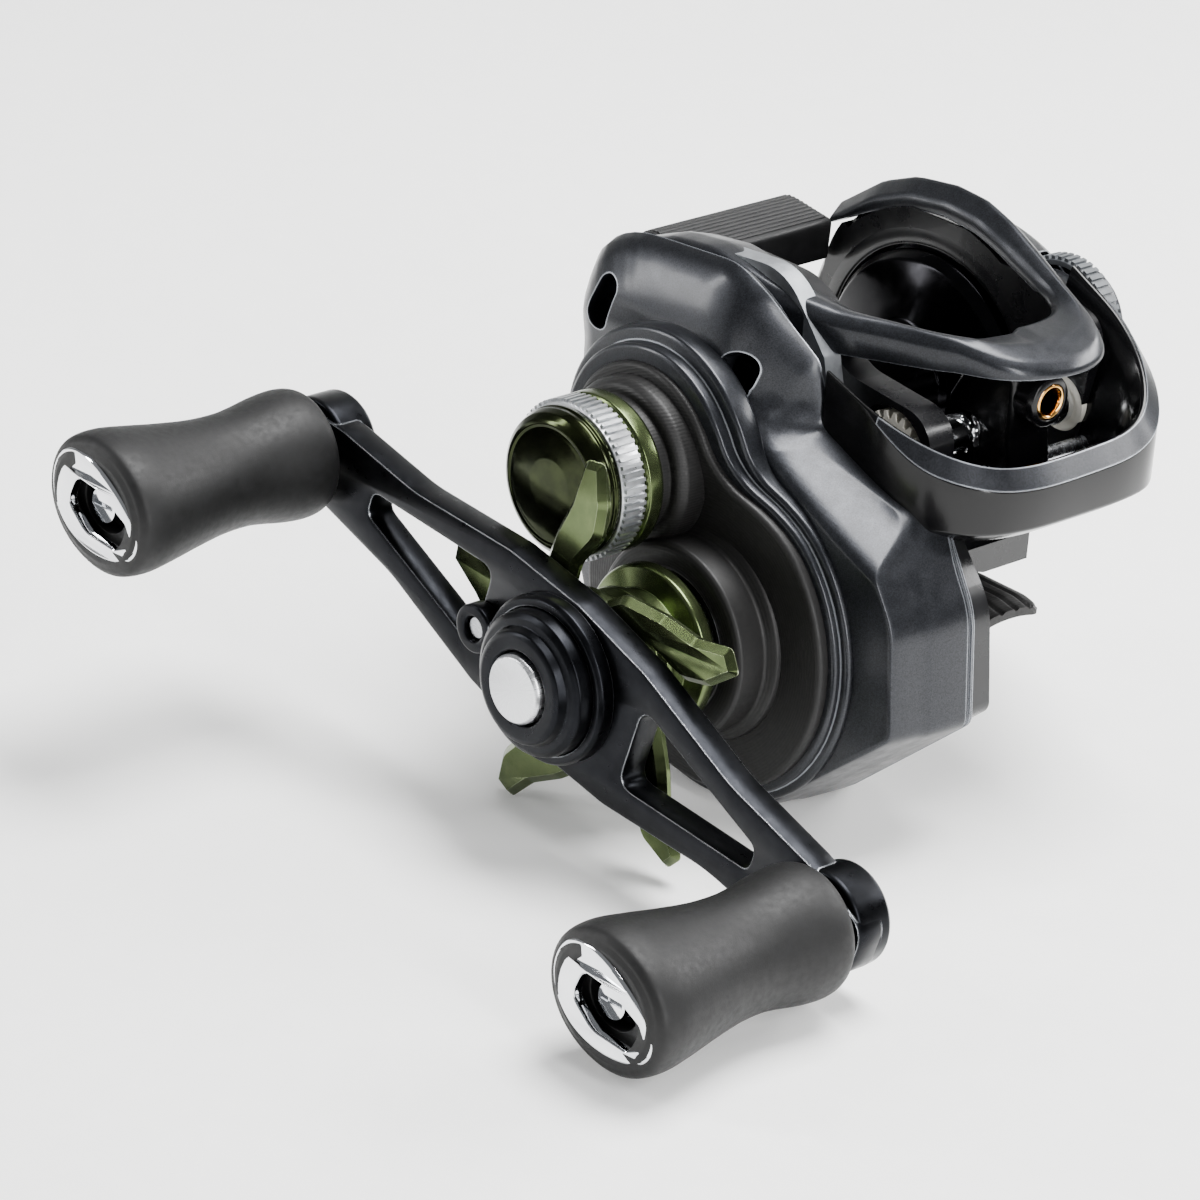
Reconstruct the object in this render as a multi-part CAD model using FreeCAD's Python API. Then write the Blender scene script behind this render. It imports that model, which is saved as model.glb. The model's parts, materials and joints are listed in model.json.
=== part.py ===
import FreeCAD, Part
import math
import os

V = FreeCAD.Vector
os.makedirs("parts", exist_ok=True)

# Low-profile baitcasting reel, right-hand retrieve. Millimetres.
# +X points forward to the rod tip, +Y to the palm side, +Z up; the handle is on the -Y side.
# The origin is the crown of the foot's underside, at the middle of the spool's width.
# Outlines below are written as (x, z) from the spool axis; save() lifts them by SPOOL_Z.

# ---- driving dimensions ----
SPOOL_Z = 16.5            # spool axis above the underside of the foot
SPOOL_R = 14.5            # flange radius
SPOOL_HALF = 11.9         # half the spool's width
ARBOR_R = 6.4
RING_R = 14.9             # bore of both side plates
WALL_IN = 11.4            # inner face of the side plates
WALL_OUT = 15.0           # outer face of the side plates
SHAFT_X, SHAFT_Z = 9.8, -16.4   # main shaft from the spool axis
DRIVE_TEETH, PINION_TEETH = 72, 10
WIND_TEETH = (38, 27, 22)       # main shaft, intermediate and worm gears of the line guide drive
WIND_MODULE = 0.4
HANDLE_HALF = 42.0        # main shaft to knob axis
HANDLE_TILT = 15.23       # degrees: the rear knob stands higher
RETAINER_EAR = (-10.9, -1.2)    # ear of the nut retainer, along and across the arm
STAR_TIP = 22.0           # direction of one star arm's tip, degrees
KNOB_ROOT, KNOB_END = -51.9, -81.3
GUIDE_TRAVEL = 7.8        # line guide, each way
THUMB_TRAVEL = 5.5
YOKE_TRAVEL = 1.9
FIT = 0.06                # radial clearance of a running fit
FOOT_HALF_WIDTH = 5.75
FOOT_FRONT, FOOT_REAR = 26.3, -31.0
FOOT_THICK = 1.5
RIVET_X = (-12.2, 12.8)
SADDLE_R = 16.0

# ---- planes along the spool axis, gear side ----
SET_PLATE = (-17.4, -15.0)
YOKE_Y = (-19.6, -18.8)
DRIVE_GEAR_Y = (-24.1, -21.9)
PINION_Y = (-25.4, -12.9)
COVER_FACE = -27.0
HOUSING_FACE = -30.0
COLLAR_END = -35.0
TENSION_Y = (-36.0, -38.4, -41.8, -44.6)    # base, knurled ring, cap and its face
STAR_Y = (-47.0, -45.0)     # arms bow outward, past the tension knob
ARM_Y = (-51.0, -47.4)
NUT_FACE = -57.0

# ---- worked out ----
CENTRES = math.hypot(SHAFT_X, SHAFT_Z)
DRIVE_MODULE = 2 * CENTRES / (DRIVE_TEETH + PINION_TEETH)
WORM_REACH = WIND_MODULE * (WIND_TEETH[0] + 2 * WIND_TEETH[1] + WIND_TEETH[2]) / 2
WORM_DIR = math.atan2(20.4, 10.2)
WORM_X = SHAFT_X + WORM_REACH * math.cos(WORM_DIR)
WORM_Z = SHAFT_Z + WORM_REACH * math.sin(WORM_DIR)
IDLE_REACH = WIND_MODULE * (WIND_TEETH[0] + WIND_TEETH[1]) / 2
IDLE_X = SHAFT_X + IDLE_REACH * math.cos(WORM_DIR)
IDLE_Z = SHAFT_Z + IDLE_REACH * math.sin(WORM_DIR)
ROD_X, ROD_Z = WORM_X + 3.6, WORM_Z - 3.6     # guide rod beside the worm
EYE_X, EYE_Z = 28.7, 9.6                      # front face and height of the line guide's eye
DIAL_X, DIAL_Z, DIAL_R = 12.0, 8.8, 7.6       # brake dial on the palm cover

# ---- outlines: (x, z, corner radius), anticlockwise from the rear ----
COVER = [(-19.3, 20.0, 12), (-18.9, -9.0, 10), (-11.5, -25.0, 14), (3.0, -37.0, 13),
         (18.0, -36.6, 10), (35.9, -20.9, 1.8), (34.6, -8.5, 9), (28.6, 1.2, 5),
         (15.6, 6.6, 1.2), (13.6, 13.6, 2.5), (6.0, 22.3, 9)]
GEAR_WALL = [(-17.0, 18.0, 11), (-18.0, -9.0, 9), (-11.0, -24.5, 13), (3.0, -36.0, 13),
             (17.5, -35.6, 10), (34.9, -20.6, 1.6), (33.4, -9.0, 8), (28.0, -2.6, 3),
             (26.0, -2.6, 0.6), (26.0, 9.6, 4), (12.5, 10.8, 6), (6.0, 18.2, 9)]
PALM_WALL = [(-16.5, 18.2, 12), (-17.5, -8.0, 8), (-12.0, -16.0, 4), (10.0, -16.0, 4),
             (22.0, -6.0, 6), (24.0, 13.5, 4), (6.0, 18.6, 12)]
GEAR_FACE_R, GEAR_RIM_R = 18.6, 25.3      # flat of the gear lobe and the soft edge round it
KNOB_STEPS = ((14.0, -29.4), (12.4, -31.0), (10.5, -32.0))   # stepped rings round the tension knob
HOUSING_R, KNOB_BOSS_R = 17.6, 9.4
COLLAR_R = 10.9
COVER_WALL = 1.6


# ---- small tools ----
def save(name, shape):
    """Write one sub-part, lifted from the spool axis frame to the foot's frame."""
    moved = shape.copy()
    moved.translate(V(0, 0, SPOOL_Z))
    if not moved.isValid():
        print("NOT VALID", name)
    moved.exportStep("parts/" + name + ".step")
    print(name, "solids", len(moved.Solids), "volume", round(moved.Volume, 1))


def side(u, v, at):
    """A point of a side view outline, at depth y."""
    return V(u, at, v)


def plan(u, v, at):
    """A point of a plan view outline, at height z."""
    return V(u, v, at)


def rounded(corners, at, place=side, inset=0.0):
    """Closed wire through corners (u, v, radius), each side moved inward by inset."""
    count = len(corners)
    area = sum(corners[i][0] * corners[(i + 1) % count][1] - corners[(i + 1) % count][0] * corners[i][1]
               for i in range(count))
    if area < 0:
        corners = corners[::-1]
    points = [V(c[0], c[1], 0) for c in corners]
    runs = [(points[(i + 1) % count] - points[i]).normalize() for i in range(count)]
    inward = [V(-r.y, r.x, 0) for r in runs]
    knots = []
    for i in range(count):
        before, after = runs[i - 1], runs[i]
        turn = before.x * after.y - before.y * after.x
        shift = (inward[i - 1] + inward[i]) * (inset / (1 + inward[i - 1].dot(inward[i])))
        radius = max(corners[i][2] - inset, 0.3) if turn > 0 else corners[i][2] + inset
        half = math.acos(max(-1.0, min(1.0, before.dot(after)))) / 2
        knots.append((points[i] + shift, radius * math.tan(half), radius, half))
    edges = []
    for i in range(count):
        here, reach, radius, half = knots[i]
        start = here - runs[i - 1] * reach
        end = here + runs[i] * reach
        middle = (runs[i] - runs[i - 1]).normalize() * (radius / math.cos(half) - radius)
        edges.append(Part.Arc(place(start.x, start.y, at), place((here + middle).x, (here + middle).y, at),
                              place(end.x, end.y, at)).toShape())
        following = knots[(i + 1) % count]
        arrive = following[0] - runs[i] * following[1]
        if (arrive - end).dot(runs[i]) > 1e-4:
            edges.append(Part.LineSegment(place(end.x, end.y, at), place(arrive.x, arrive.y, at)).toShape())
    return Part.Wire(edges)


def slab(corners, y0, y1, inset=0.0):
    """Side view outline between two depths."""
    low, high = min(y0, y1), max(y0, y1)
    return Part.Face(rounded(corners, low, side, inset)).extrude(V(0, high - low, 0))


def taper(corners, y0, y1, inset0, inset1):
    """Side view outline that narrows from one depth to the other."""
    return Part.makeLoft([rounded(corners, y0, side, inset0), rounded(corners, y1, side, inset1)], True, True)


def raised(corners, z0, z1, inset=0.0):
    """Plan view outline between two heights."""
    return Part.Face(rounded(corners, z0, plan, inset)).extrude(V(0, 0, z1 - z0))


def rod(radius, y0, y1, x=0.0, z=0.0):
    low, high = min(y0, y1), max(y0, y1)
    return Part.makeCylinder(radius, high - low, V(x, low, z), V(0, 1, 0))


def tube(outer, inner, y0, y1, x=0.0, z=0.0):
    return rod(outer, y0, y1, x, z).cut(rod(inner, min(y0, y1) - 1, max(y0, y1) + 1, x, z))


def block(x0, x1, y0, y1, z0, z1):
    return Part.makeBox(x1 - x0, y1 - y0, z1 - z0, V(x0, y0, z0))


def turned(profile, x=0.0, z=0.0):
    """Solid of revolution about a Y axis from (radius, y) points."""
    points = [V(x + r, y, z) for r, y in profile]
    face = Part.Face(Part.makePolygon(points + [points[0]]))
    return face.revolve(V(x, 0, z), V(0, 1, 0), 360)


def fused(shapes):
    whole = shapes[0].multiFuse(shapes[1:])
    return whole.removeSplitter()


def spur(teeth, module, y0, y1, x, z, tooth_at, bore):
    """Flat-flanked spur gear with one tooth centred on the angle tooth_at."""
    pitch_r = module * teeth / 2
    root_r, tip_r = pitch_r - 1.2 * module, pitch_r + 0.85 * module
    step = 2 * math.pi / teeth
    ring = []
    for i in range(teeth):
        middle = tooth_at + i * step
        for radius, share in ((root_r, -0.33), (tip_r, -0.13), (tip_r, 0.13), (root_r, 0.33)):
            angle = middle + share * step
            ring.append(V(x + radius * math.cos(angle), y0, z + radius * math.sin(angle)))
    gear = Part.Face(Part.makePolygon(ring + [ring[0]])).extrude(V(0, y1 - y0, 0))
    return gear.cut(rod(bore, y0 - 1, y1 + 1, x, z))


def along_arm(distance, offset=0.0):
    """Point on the handle's long axis, from the main shaft; positive distance is the front knob."""
    tilt = math.radians(HANDLE_TILT)
    return (SHAFT_X + distance * math.cos(tilt) + offset * math.sin(tilt),
            SHAFT_Z - distance * math.sin(tilt) + offset * math.cos(tilt))


# ---- fixed structure ----
def frame():
    """Side plates, foot blocks and cross bars in one casting."""
    gear_wall = slab(GEAR_WALL, -WALL_OUT, -WALL_IN)
    palm_wall = slab(PALM_WALL, WALL_IN, WALL_OUT)
    bars = [block(16.0, 22.0, -WALL_IN - 1, WALL_IN + 1, -7.0, -4.6),
            block(9.0, 17.0, -WALL_IN - 1, WALL_IN + 1, -15.9, -12.6),
            block(-15.5, -9.0, -WALL_IN - 1, WALL_IN + 1, -15.9, -12.6),
            block(-17.6, -15.6, -WALL_IN - 1, WALL_IN + 1, -6.0, 2.0)]
    body = fused([gear_wall, palm_wall] + bars)
    cuts = [rod(RING_R, -20, 20),
            rod(8.6, -16, -12.6, SHAFT_X, SHAFT_Z),
            rod(6.4, -16, -12.6, IDLE_X, IDLE_Z),
            rod(5.4, -16, -12.6, WORM_X, WORM_Z),
            rod(3.2, -20, 13.9, WORM_X, WORM_Z),
            rod(1.0, -12.95, 14.0, ROD_X, ROD_Z),
            block(-16.9, -14.4, -16, -11, 2.0, 11.3),
            foot_blank()]
    for x in RIVET_X:
        cuts.append(Part.makeCylinder(1.25, 4.0, V(x, 0, -SPOOL_Z - 0.1), V(0, 0, 1)))
    body = body.cut(fused(cuts[:6]).fuse(cuts[6])).cut(cuts[7])
    return body.cut(fused(cuts[8:])).cut(top_hood())


def foot_blank():
    """Saddle-curved strip that lies in the rod's reel seat."""
    crown = -SPOOL_Z
    outer = Part.makeCylinder(SADDLE_R + FOOT_THICK, FOOT_FRONT - FOOT_REAR,
                              V(FOOT_REAR, 0, crown - SADDLE_R), V(1, 0, 0))
    inner = Part.makeCylinder(SADDLE_R, FOOT_FRONT - FOOT_REAR, V(FOOT_REAR, 0, crown - SADDLE_R), V(1, 0, 0))
    corners = [(FOOT_REAR, -FOOT_HALF_WIDTH, 2.5), (FOOT_FRONT, -FOOT_HALF_WIDTH, 1.6),
               (FOOT_FRONT, FOOT_HALF_WIDTH, 1.6), (FOOT_REAR, FOOT_HALF_WIDTH, 2.5)]
    return outer.cut(inner).common(raised(corners, crown - 6, crown + 6))


def reel_foot():
    foot = foot_blank()
    for x in RIVET_X:
        foot = foot.cut(Part.makeCylinder(1.2, 8, V(x, 0, -SPOOL_Z - 2), V(0, 0, 1)))
    return foot


def foot_rivets():
    rivets = []
    for x in RIVET_X:
        shank = Part.makeCylinder(1.2, 2.6, V(x, 0, -SPOOL_Z - 0.02), V(0, 0, 1))
        rivets.append(shank)
    return Part.makeCompound(rivets)


NOSE_PLAN = [(14.8, -20.2, 0.6), (28.0, -17.6, 12), (33.7, -11.5, 6), (33.7, 11.0, 6),
             (29.0, 15.0, 8), (22.4, 15.4, 0.6)]
NOSE_WALL = 1.9
NOSE_LOW, NOSE_LIP = -2.2, 6.0
NEAR_RAIL = [(14.7, 12.8), (23.0, 9.6), (27.7, 7.7), (33.8, 6.0)]    # top edge on the gear side
FAR_RAIL = [(33.8, 6.0), (31.0, 9.6), (24.2, 17.4)]                  # top edge on the palm side


def nose_cover():
    """Front cover: a bowed lip under the line guide, a shelf on the gear side, a wing on the palm side."""
    band = raised(NOSE_PLAN, NOSE_LOW, 20).cut(raised(NOSE_PLAN, NOSE_LOW - 1, 21, NOSE_WALL))
    lip = band.common(block(26.4, 34, -22, 22, NOSE_LOW, NOSE_LIP))
    floor = raised(NOSE_PLAN, NOSE_LOW, NOSE_LOW + 1.2, 0.4).common(block(26.4, 34, -11.0, 11.0, -4, 0))
    near_side = [(14.7, 2.0, 0.2), (33.8, -2.2, 0.2)] + [(x, z, 0.2) for x, z in reversed(NEAR_RAIL)]
    near = band.common(slab(near_side, -21, -WALL_OUT - 0.02))
    shelf_side = [(x, z, 0.2) for x, z in NEAR_RAIL] + [(x, z - 1.6, 0.2) for x, z in reversed(NEAR_RAIL)]
    shelf = raised(NOSE_PLAN, 0, 15, 0.3).common(slab(shelf_side, -21, -WALL_OUT - 0.02))
    far_side = [(24.2, 2.0, 0.2), (33.8, 2.0, 0.2)] + [(x, z, 0.2) for x, z in FAR_RAIL]
    far = band.common(slab(far_side, 6.0, 16.0))
    body = fused([lip, floor, near, shelf, far])
    body = body.cut(slab(COVER, -30, -14.9, -0.15))
    return body.cut(block(14.0, 26.3, -WALL_OUT - 0.02, 11.2, -4.0, 14.0)).cut(block(14, 24.15, 11.1, 17, -4, 20))


def top_hood():
    """Bridge over the spool: two arms that meet in a bar above the line guide."""
    profile = [(-17.0, 14.2), (-14.6, 16.6), (-11.0, 19.0), (-6.0, 21.1), (0.0, 22.0), (5.0, 21.9), (10.0, 20.9),
               (16.0, 19.2), (30.4, 15.0), (30.0, 13.1), (14.0, 16.7), (0.0, 16.0), (-12.0, 12.0)]
    points = [V(x, -WALL_OUT, z) for x, z in profile]
    sheet = Part.Face(Part.makePolygon(points + [points[0]])).extrude(V(0, 2 * WALL_OUT, 0))
    outer = [(-20.0, -15.0, 0.5), (6.0, -15.0, 12), (30.8, -7.6, 5.0), (30.8, 7.6, 5.0),
             (6.0, 15.0, 12), (-20.0, 15.0, 0.5)]
    room = [(-22.0, -11.4, 0.5), (4.0, -11.4, 9), (22.4, -7.2, 4.5), (22.4, 7.2, 4.5),
            (4.0, 11.4, 9), (-22.0, 11.4, 0.5)]
    ring = raised(outer, 10, 26).cut(raised(room, 9, 27))
    return sheet.common(ring).cut(rod(18.95, -16, 16))


def cover_solid(shrink):
    """Outer form of the gear cover, or its hollow when shrink is the wall thickness."""
    gear_lobe = turned([(0, -14.0), (GEAR_RIM_R + 3.5 - shrink, -14.0), (GEAR_RIM_R + 1.2 - shrink, -22.0),
                        (GEAR_RIM_R - 2.0 - shrink, COVER_FACE + 2.0 + shrink),
                        (GEAR_FACE_R - shrink, COVER_FACE + shrink), (0, COVER_FACE + shrink)], SHAFT_X, SHAFT_Z)
    plan_corners = [(-19.4, -14.0, 0.2), (-19.4 + shrink, -25.0 + shrink, 2.5), (-15.0, COVER_FACE + shrink, 3.0),
                    (7.5, COVER_FACE + shrink, 6.0), (15.8 - shrink, -20.0 + shrink, 1.0), (15.8 - shrink, -14.0, 0.2)]
    upper = raised(plan_corners, -14.0, 23.0)
    steps = [(0, -14.0), (KNOB_STEPS[0][0] - shrink, -14.0)]
    steps += [(radius - shrink, y + shrink) for radius, y in KNOB_STEPS] + [(0, KNOB_STEPS[2][1] + shrink)]
    form = fused([gear_lobe, upper, turned(steps)])
    hull = taper(COVER, -WALL_OUT if shrink == 0 else -14.0, -33.0, shrink, 1.5 + shrink)
    return form.common(hull)


def gear_side_cover():
    """Deep shell over the gears, with two screw pockets in its upper face."""
    shell = cover_solid(0.0).cut(cover_solid(COVER_WALL))
    shell = shell.cut(rod(HOUSING_R - 1.0, -34, -24, SHAFT_X, SHAFT_Z)).cut(rod(KNOB_BOSS_R + 0.02, -34, -24))
    bosses = [tube(2.6, 1.1, -25.6, -15.0, x, z) for x, z in SCREW_AT]
    shell = fused([shell] + bosses)
    for x, z in SCREW_AT:
        shell = shell.cut(rod(1.9, -32.0, -23.0, x, z))
    return shell


SCREW_AT = [(-12.6, 12.6), (7.4, 10.4)]


def cover_screws():
    screws = []
    for x, z in SCREW_AT:
        head = rod(1.8, -24.6, -23.1, x, z)
        shank = rod(1.0, -23.2, -15.2, x, z)
        socket = block(x - 1.3, x + 1.3, -25.0, -24.0, z - 0.25, z + 0.25)
        screws.append(head.fuse(shank).cut(socket))
    return Part.makeCompound(screws)


def gear_housing():
    """Raised round housing of the drive gear, joined to the tension knob's threaded boss."""
    lobe = turned([(0, COVER_FACE - 0.02), (HOUSING_R, COVER_FACE - 0.02), (HOUSING_R, HOUSING_FACE + 0.8),
                   (HOUSING_R - 0.8, HOUSING_FACE), (0, HOUSING_FACE)], SHAFT_X, SHAFT_Z)
    plug = rod(HOUSING_R - 1.05, COVER_FACE + COVER_WALL, COVER_FACE - 0.1, SHAFT_X, SHAFT_Z)
    step = rod(KNOB_BOSS_R, COVER_FACE + 0.5, -34.4)
    boss = rod(7.6, HOUSING_FACE, TENSION_Y[0] + 0.4)
    thread = rod(5.6, HOUSING_FACE, TENSION_Y[2] + 0.8)
    collar = rod(COLLAR_R, HOUSING_FACE, COLLAR_END, SHAFT_X, SHAFT_Z)
    body = fused([lobe, plug, step, boss, thread, collar])
    body = body.cut(cover_solid(0.0).cut(rod(HOUSING_R - 1.0, -34, -20, SHAFT_X, SHAFT_Z))
                    .cut(rod(KNOB_BOSS_R + 0.01, -34, -20)))
    room = rod(13.6, -20, COVER_FACE - 1.6, SHAFT_X, SHAFT_Z)
    body = body.cut(room).cut(rod(4.0, -20, -29.6)).cut(rod(1.9, -20, -40.0))
    return body.cut(rod(7.0, -20, -36, SHAFT_X, SHAFT_Z))


def set_plate():
    """Inner plate that carries the pinion and the main shaft."""
    plate = slab(COVER, SET_PLATE[0], SET_PLATE[1], 2.0)
    cuts = [rod(5.0, -20, -10), rod(4.0, -20, -10, SHAFT_X, SHAFT_Z), block(-17.5, -14.4, -20, -10, 2.0, 11.3),
            rod(0.8, -20, -10, IDLE_X, IDLE_Z)]
    for x, z in SCREW_AT:
        cuts.append(rod(2.7, -20, -10, x, z))
    return plate.cut(fused(cuts))


def yoke_spots():
    """The two posts that guide the clutch yoke, on a line square to the gear centres."""
    ux, uz = -SHAFT_Z / CENTRES, SHAFT_X / CENTRES
    return [(ux * 8.0, uz * 8.0), (-ux * 8.0, -uz * 8.0)]


def yoke_posts():
    return Part.makeCompound([rod(0.9, -25.4, SET_PLATE[0], x, z) for x, z in yoke_spots()])


# ---- clutch ----
def clutch_yoke():
    ux, uz = -SHAFT_Z / CENTRES, SHAFT_X / CENTRES
    wx, wz = -uz, ux
    ends = []
    for a, b in ((-9.6, -1.6), (9.6, -1.6), (9.6, 1.6), (4.0, 3.6), (-4.0, 3.6), (-9.6, 1.6)):
        ends.append((a * ux + b * wx, a * uz + b * wz, 1.0))
    plate = slab(ends, YOKE_Y[0], YOKE_Y[1]).fuse(rod(3.8, YOKE_Y[0], YOKE_Y[1]))
    plate = plate.cut(rod(2.06, -22, -17))
    for x, z in yoke_spots():
        plate = plate.cut(rod(0.9 + FIT, -22, -17, x, z))
    return plate


def clutch_cam():
    """Ring with two lugs that turns behind the yoke when the thumb bar goes down."""
    ring = tube(6.4, 5.4, -18.3, -17.7)
    for angle in (60, 240):
        a = math.radians(angle)
        ring = ring.fuse(rod(0.9, -18.3, -17.7, 6.3 * math.cos(a), 6.3 * math.sin(a)))
    return ring


def thumb_bar():
    """Ribbed clutch bar behind the spool."""
    corners = [(-25.4, 10.4, 1.0), (-15.6, 10.6, 0.8), (-15.6, 13.6, 1.2), (-22.5, 14.6, 3.0), (-25.6, 12.4, 1.2)]
    bar = slab(corners, -11.0, 11.0)
    return bar.fuse(block(-16.2, -15.0, -11.0, -9.9, 8.0, 11.5))


def thumb_link():
    """Plate behind the set plate that carries the bar's stroke to the clutch cam."""
    stub = block(-16.2, -15.0, -18.3, -11.02, 8.0, 9.5)
    plate = block(-16.2, -9.4, -18.3, -17.7, 5.6, 9.5)
    return stub.fuse(plate)


# ---- gear train ----
def drive_angle():
    return math.atan2(-SHAFT_Z, -SHAFT_X)


def drive_gear():
    return spur(DRIVE_TEETH, DRIVE_MODULE, DRIVE_GEAR_Y[0], DRIVE_GEAR_Y[1], SHAFT_X, SHAFT_Z, drive_angle(), 3.02)


def pinion():
    teeth = spur(PINION_TEETH, DRIVE_MODULE, PINION_Y[0], -20.0, 0, 0,
                 drive_angle() + math.pi + math.pi / PINION_TEETH, 0.5)
    waist = rod(2.0, -20.1, -18.5)
    head = rod(2.5, -18.5, PINION_Y[1])
    body = fused([teeth, waist, head])
    slot = block(-4, 4, -14.5, -12, -0.55, 0.55)
    return body.cut(slot).cut(rod(1.5 + FIT, -30, -10))


def wind_gear(index, y0, y1, x, z, tooth_at, bore):
    return spur(WIND_TEETH[index], WIND_MODULE, y0, y1, x, z, tooth_at, bore)


def drive_shaft():
    steps = [(0, -12.9), (1.5, -12.9), (1.5, SET_PLATE[0]), (3.0, SET_PLATE[0]), (3.0, -52.0), (0, -52.0)]
    return turned(steps, SHAFT_X, SHAFT_Z)


def worm_shaft():
    steps = [(0, -14.8), (1.5, -14.8), (1.5, -11.3), (2.2, -11.3)]
    grooves = 12
    for i in range(grooves):
        y = -9.9 + i * 1.8
        steps += [(2.2, y - 0.35), (1.8, y - 0.35), (1.8, y + 0.35), (2.2, y + 0.35)]
    steps += [(2.2, 11.3), (1.5, 11.3), (1.5, 13.6), (0, 13.6)]
    return turned(steps, WORM_X, WORM_Z)


def worm_bushes():
    return Part.makeCompound([tube(3.18, 1.5 + FIT, -12.6, -11.5, WORM_X, WORM_Z),
                              tube(3.18, 1.5 + FIT, 11.5, 13.8, WORM_X, WORM_Z)])


# ---- line guide ----
def guide_block():
    """Carriage on the worm, with a nose that holds the eye."""
    corners = [(WORM_X - 3.2, WORM_Z - 6.2, 1.5), (ROD_X + 1.8, ROD_Z - 1.8, 1.2), (EYE_X - 2.4, WORM_Z + 1.0, 1.0),
               (EYE_X - 2.4, EYE_Z + 2.9, 1.5), (WORM_X - 0.5, EYE_Z + 2.6, 2.0), (WORM_X - 3.2, WORM_Z + 3.0, 2.0)]
    body = slab(corners, -3.2, 3.2)
    barrel = Part.makeCylinder(3.0, 2.6, V(EYE_X - 2.6, 0, EYE_Z), V(1, 0, 0))
    body = body.fuse(barrel)
    eye = Part.makeCylinder(2.1, 3.0, V(EYE_X - 2.5, 0, EYE_Z), V(1, 0, 0))
    throat = Part.makeCylinder(1.9, 14.0, V(EYE_X - 14.0, 0, EYE_Z), V(1, 0, 0))
    cuts = fused([eye, throat, rod(2.2 + FIT, -5, 5, WORM_X, WORM_Z), rod(0.9 + FIT, -5, 5, ROD_X, ROD_Z)])
    under = Part.makeCylinder(1.3, 6.0, V(WORM_X, 0, WORM_Z - 7.0), V(0, 0, 1))
    return body.cut(cuts).cut(under)


def guide_insert():
    """Polished ring that the line runs through."""
    ring = Part.makeCylinder(2.08, 2.5, V(EYE_X - 2.4, 0, EYE_Z), V(1, 0, 0))
    return ring.cut(Part.makeCylinder(1.4, 4.0, V(EYE_X - 3.0, 0, EYE_Z), V(1, 0, 0)))


def guide_pawl():
    return Part.makeCylinder(1.25, 2.6, V(WORM_X, 0, WORM_Z - 5.0), V(0, 0, 1))


def pawl_cap():
    return Part.makeCylinder(1.28, 1.1, V(WORM_X, 0, WORM_Z - 6.1), V(0, 0, 1))


# ---- spool ----
def spool():
    lip = SPOOL_R
    half = SPOOL_HALF
    profile = [(1.5, -6.0), (1.5, 6.0), (ARBOR_R - 1.2, 8.2), (lip - 2.2, 9.8), (lip - 1.0, half), (lip, half),
               (lip, half - 1.0), (lip - 1.0, half - 2.2), (ARBOR_R + 1.0, 8.2), (ARBOR_R, 7.2),
               (ARBOR_R, -7.2), (ARBOR_R + 1.0, -8.2), (lip - 1.0, -half + 2.2), (lip, -half + 1.0),
               (lip, -half), (lip - 1.0, -half), (lip - 2.2, -9.8), (ARBOR_R - 1.2, -8.2)]
    body = turned(profile)
    for i in range(12):
        a = (i + 0.5) * math.pi / 6
        y = (-4.5, -1.5, 1.5, 4.5)[i % 4]
        outward = V(math.cos(a), 0, math.sin(a))
        body = body.cut(Part.makeCylinder(0.75, ARBOR_R, V(0, y, 0) + outward * 3.4, outward))
    return body


def spool_shaft():
    return rod(1.5, -29.4, 21.0).cut(spool_pin())


def spool_pin():
    return Part.makeCylinder(0.4, 4.6, V(-2.3, -13.6, 0), V(1, 0, 0))


# ---- handle ----
def handle_arm():
    """Flat double arm with a window in each half and a round eye at each end."""
    def slant(points, radius):
        return [(along_arm(a, b)[0], along_arm(a, b)[1], r) for (a, b), r in zip(points, radius)]
    pieces = [rod(9.4, ARM_Y[0], ARM_Y[1], SHAFT_X, SHAFT_Z)]
    for sign in (-1, 1):
        corners = slant([(0, -8.6), (sign * 12, -8.4), (sign * 38, -4.4), (sign * 38, 4.4),
                         (sign * 12, 8.4), (0, 8.6)], [0.5, 12, 3, 3, 12, 0.5])
        pieces.append(slab(corners, ARM_Y[0], ARM_Y[1]))
        ex, ez = along_arm(sign * HANDLE_HALF)
        pieces.append(rod(5.6, ARM_Y[0], ARM_Y[1] + 1.6, ex, ez))
    body = fused(pieces)
    for sign in (-1, 1):
        window = slant([(sign * 12.6, -4.6), (sign * 31.0, -1.2), (sign * 31.0, 1.2), (sign * 12.6, 4.6)],
                       [1.2, 1.0, 1.0, 1.2])
        body = body.cut(slab(window, -55, -45))
        ex, ez = along_arm(sign * HANDLE_HALF)
        body = body.cut(rod(2.0, -55, -45, ex, ez))
    return body.cut(rod(3.02, -60, -40, SHAFT_X, SHAFT_Z))


def handle_nut():
    steps = [(3.04, -51.0), (7.9, -51.0), (7.9, -54.6), (6.0, -55.4), (6.0, -56.2),
             (3.9, -56.2), (3.9, -53.0), (3.04, -53.0)]
    return turned(steps, SHAFT_X, SHAFT_Z)


def nut_cap():
    steps = [(0, -53.1), (3.86, -53.1), (3.86, -56.7), (3.5, NUT_FACE), (0, NUT_FACE)]
    return turned(steps, SHAFT_X, SHAFT_Z)


def nut_retainer():
    """Ring round the nut, with an ear screwed to the arm, that stops the nut from turning."""
    ex, ez = along_arm(*RETAINER_EAR)
    ring = fused([rod(9.2, -53.0, ARM_Y[0] - 0.02, SHAFT_X, SHAFT_Z), rod(2.7, -53.0, ARM_Y[0] - 0.02, ex, ez)])
    return ring.cut(rod(7.96, -55, -50, SHAFT_X, SHAFT_Z)).cut(rod(1.15, -55, -50, ex, ez))


def retainer_screw():
    ex, ez = along_arm(*RETAINER_EAR)
    return rod(1.1, -52.4, ARM_Y[0] - 0.04, ex, ez)


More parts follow.
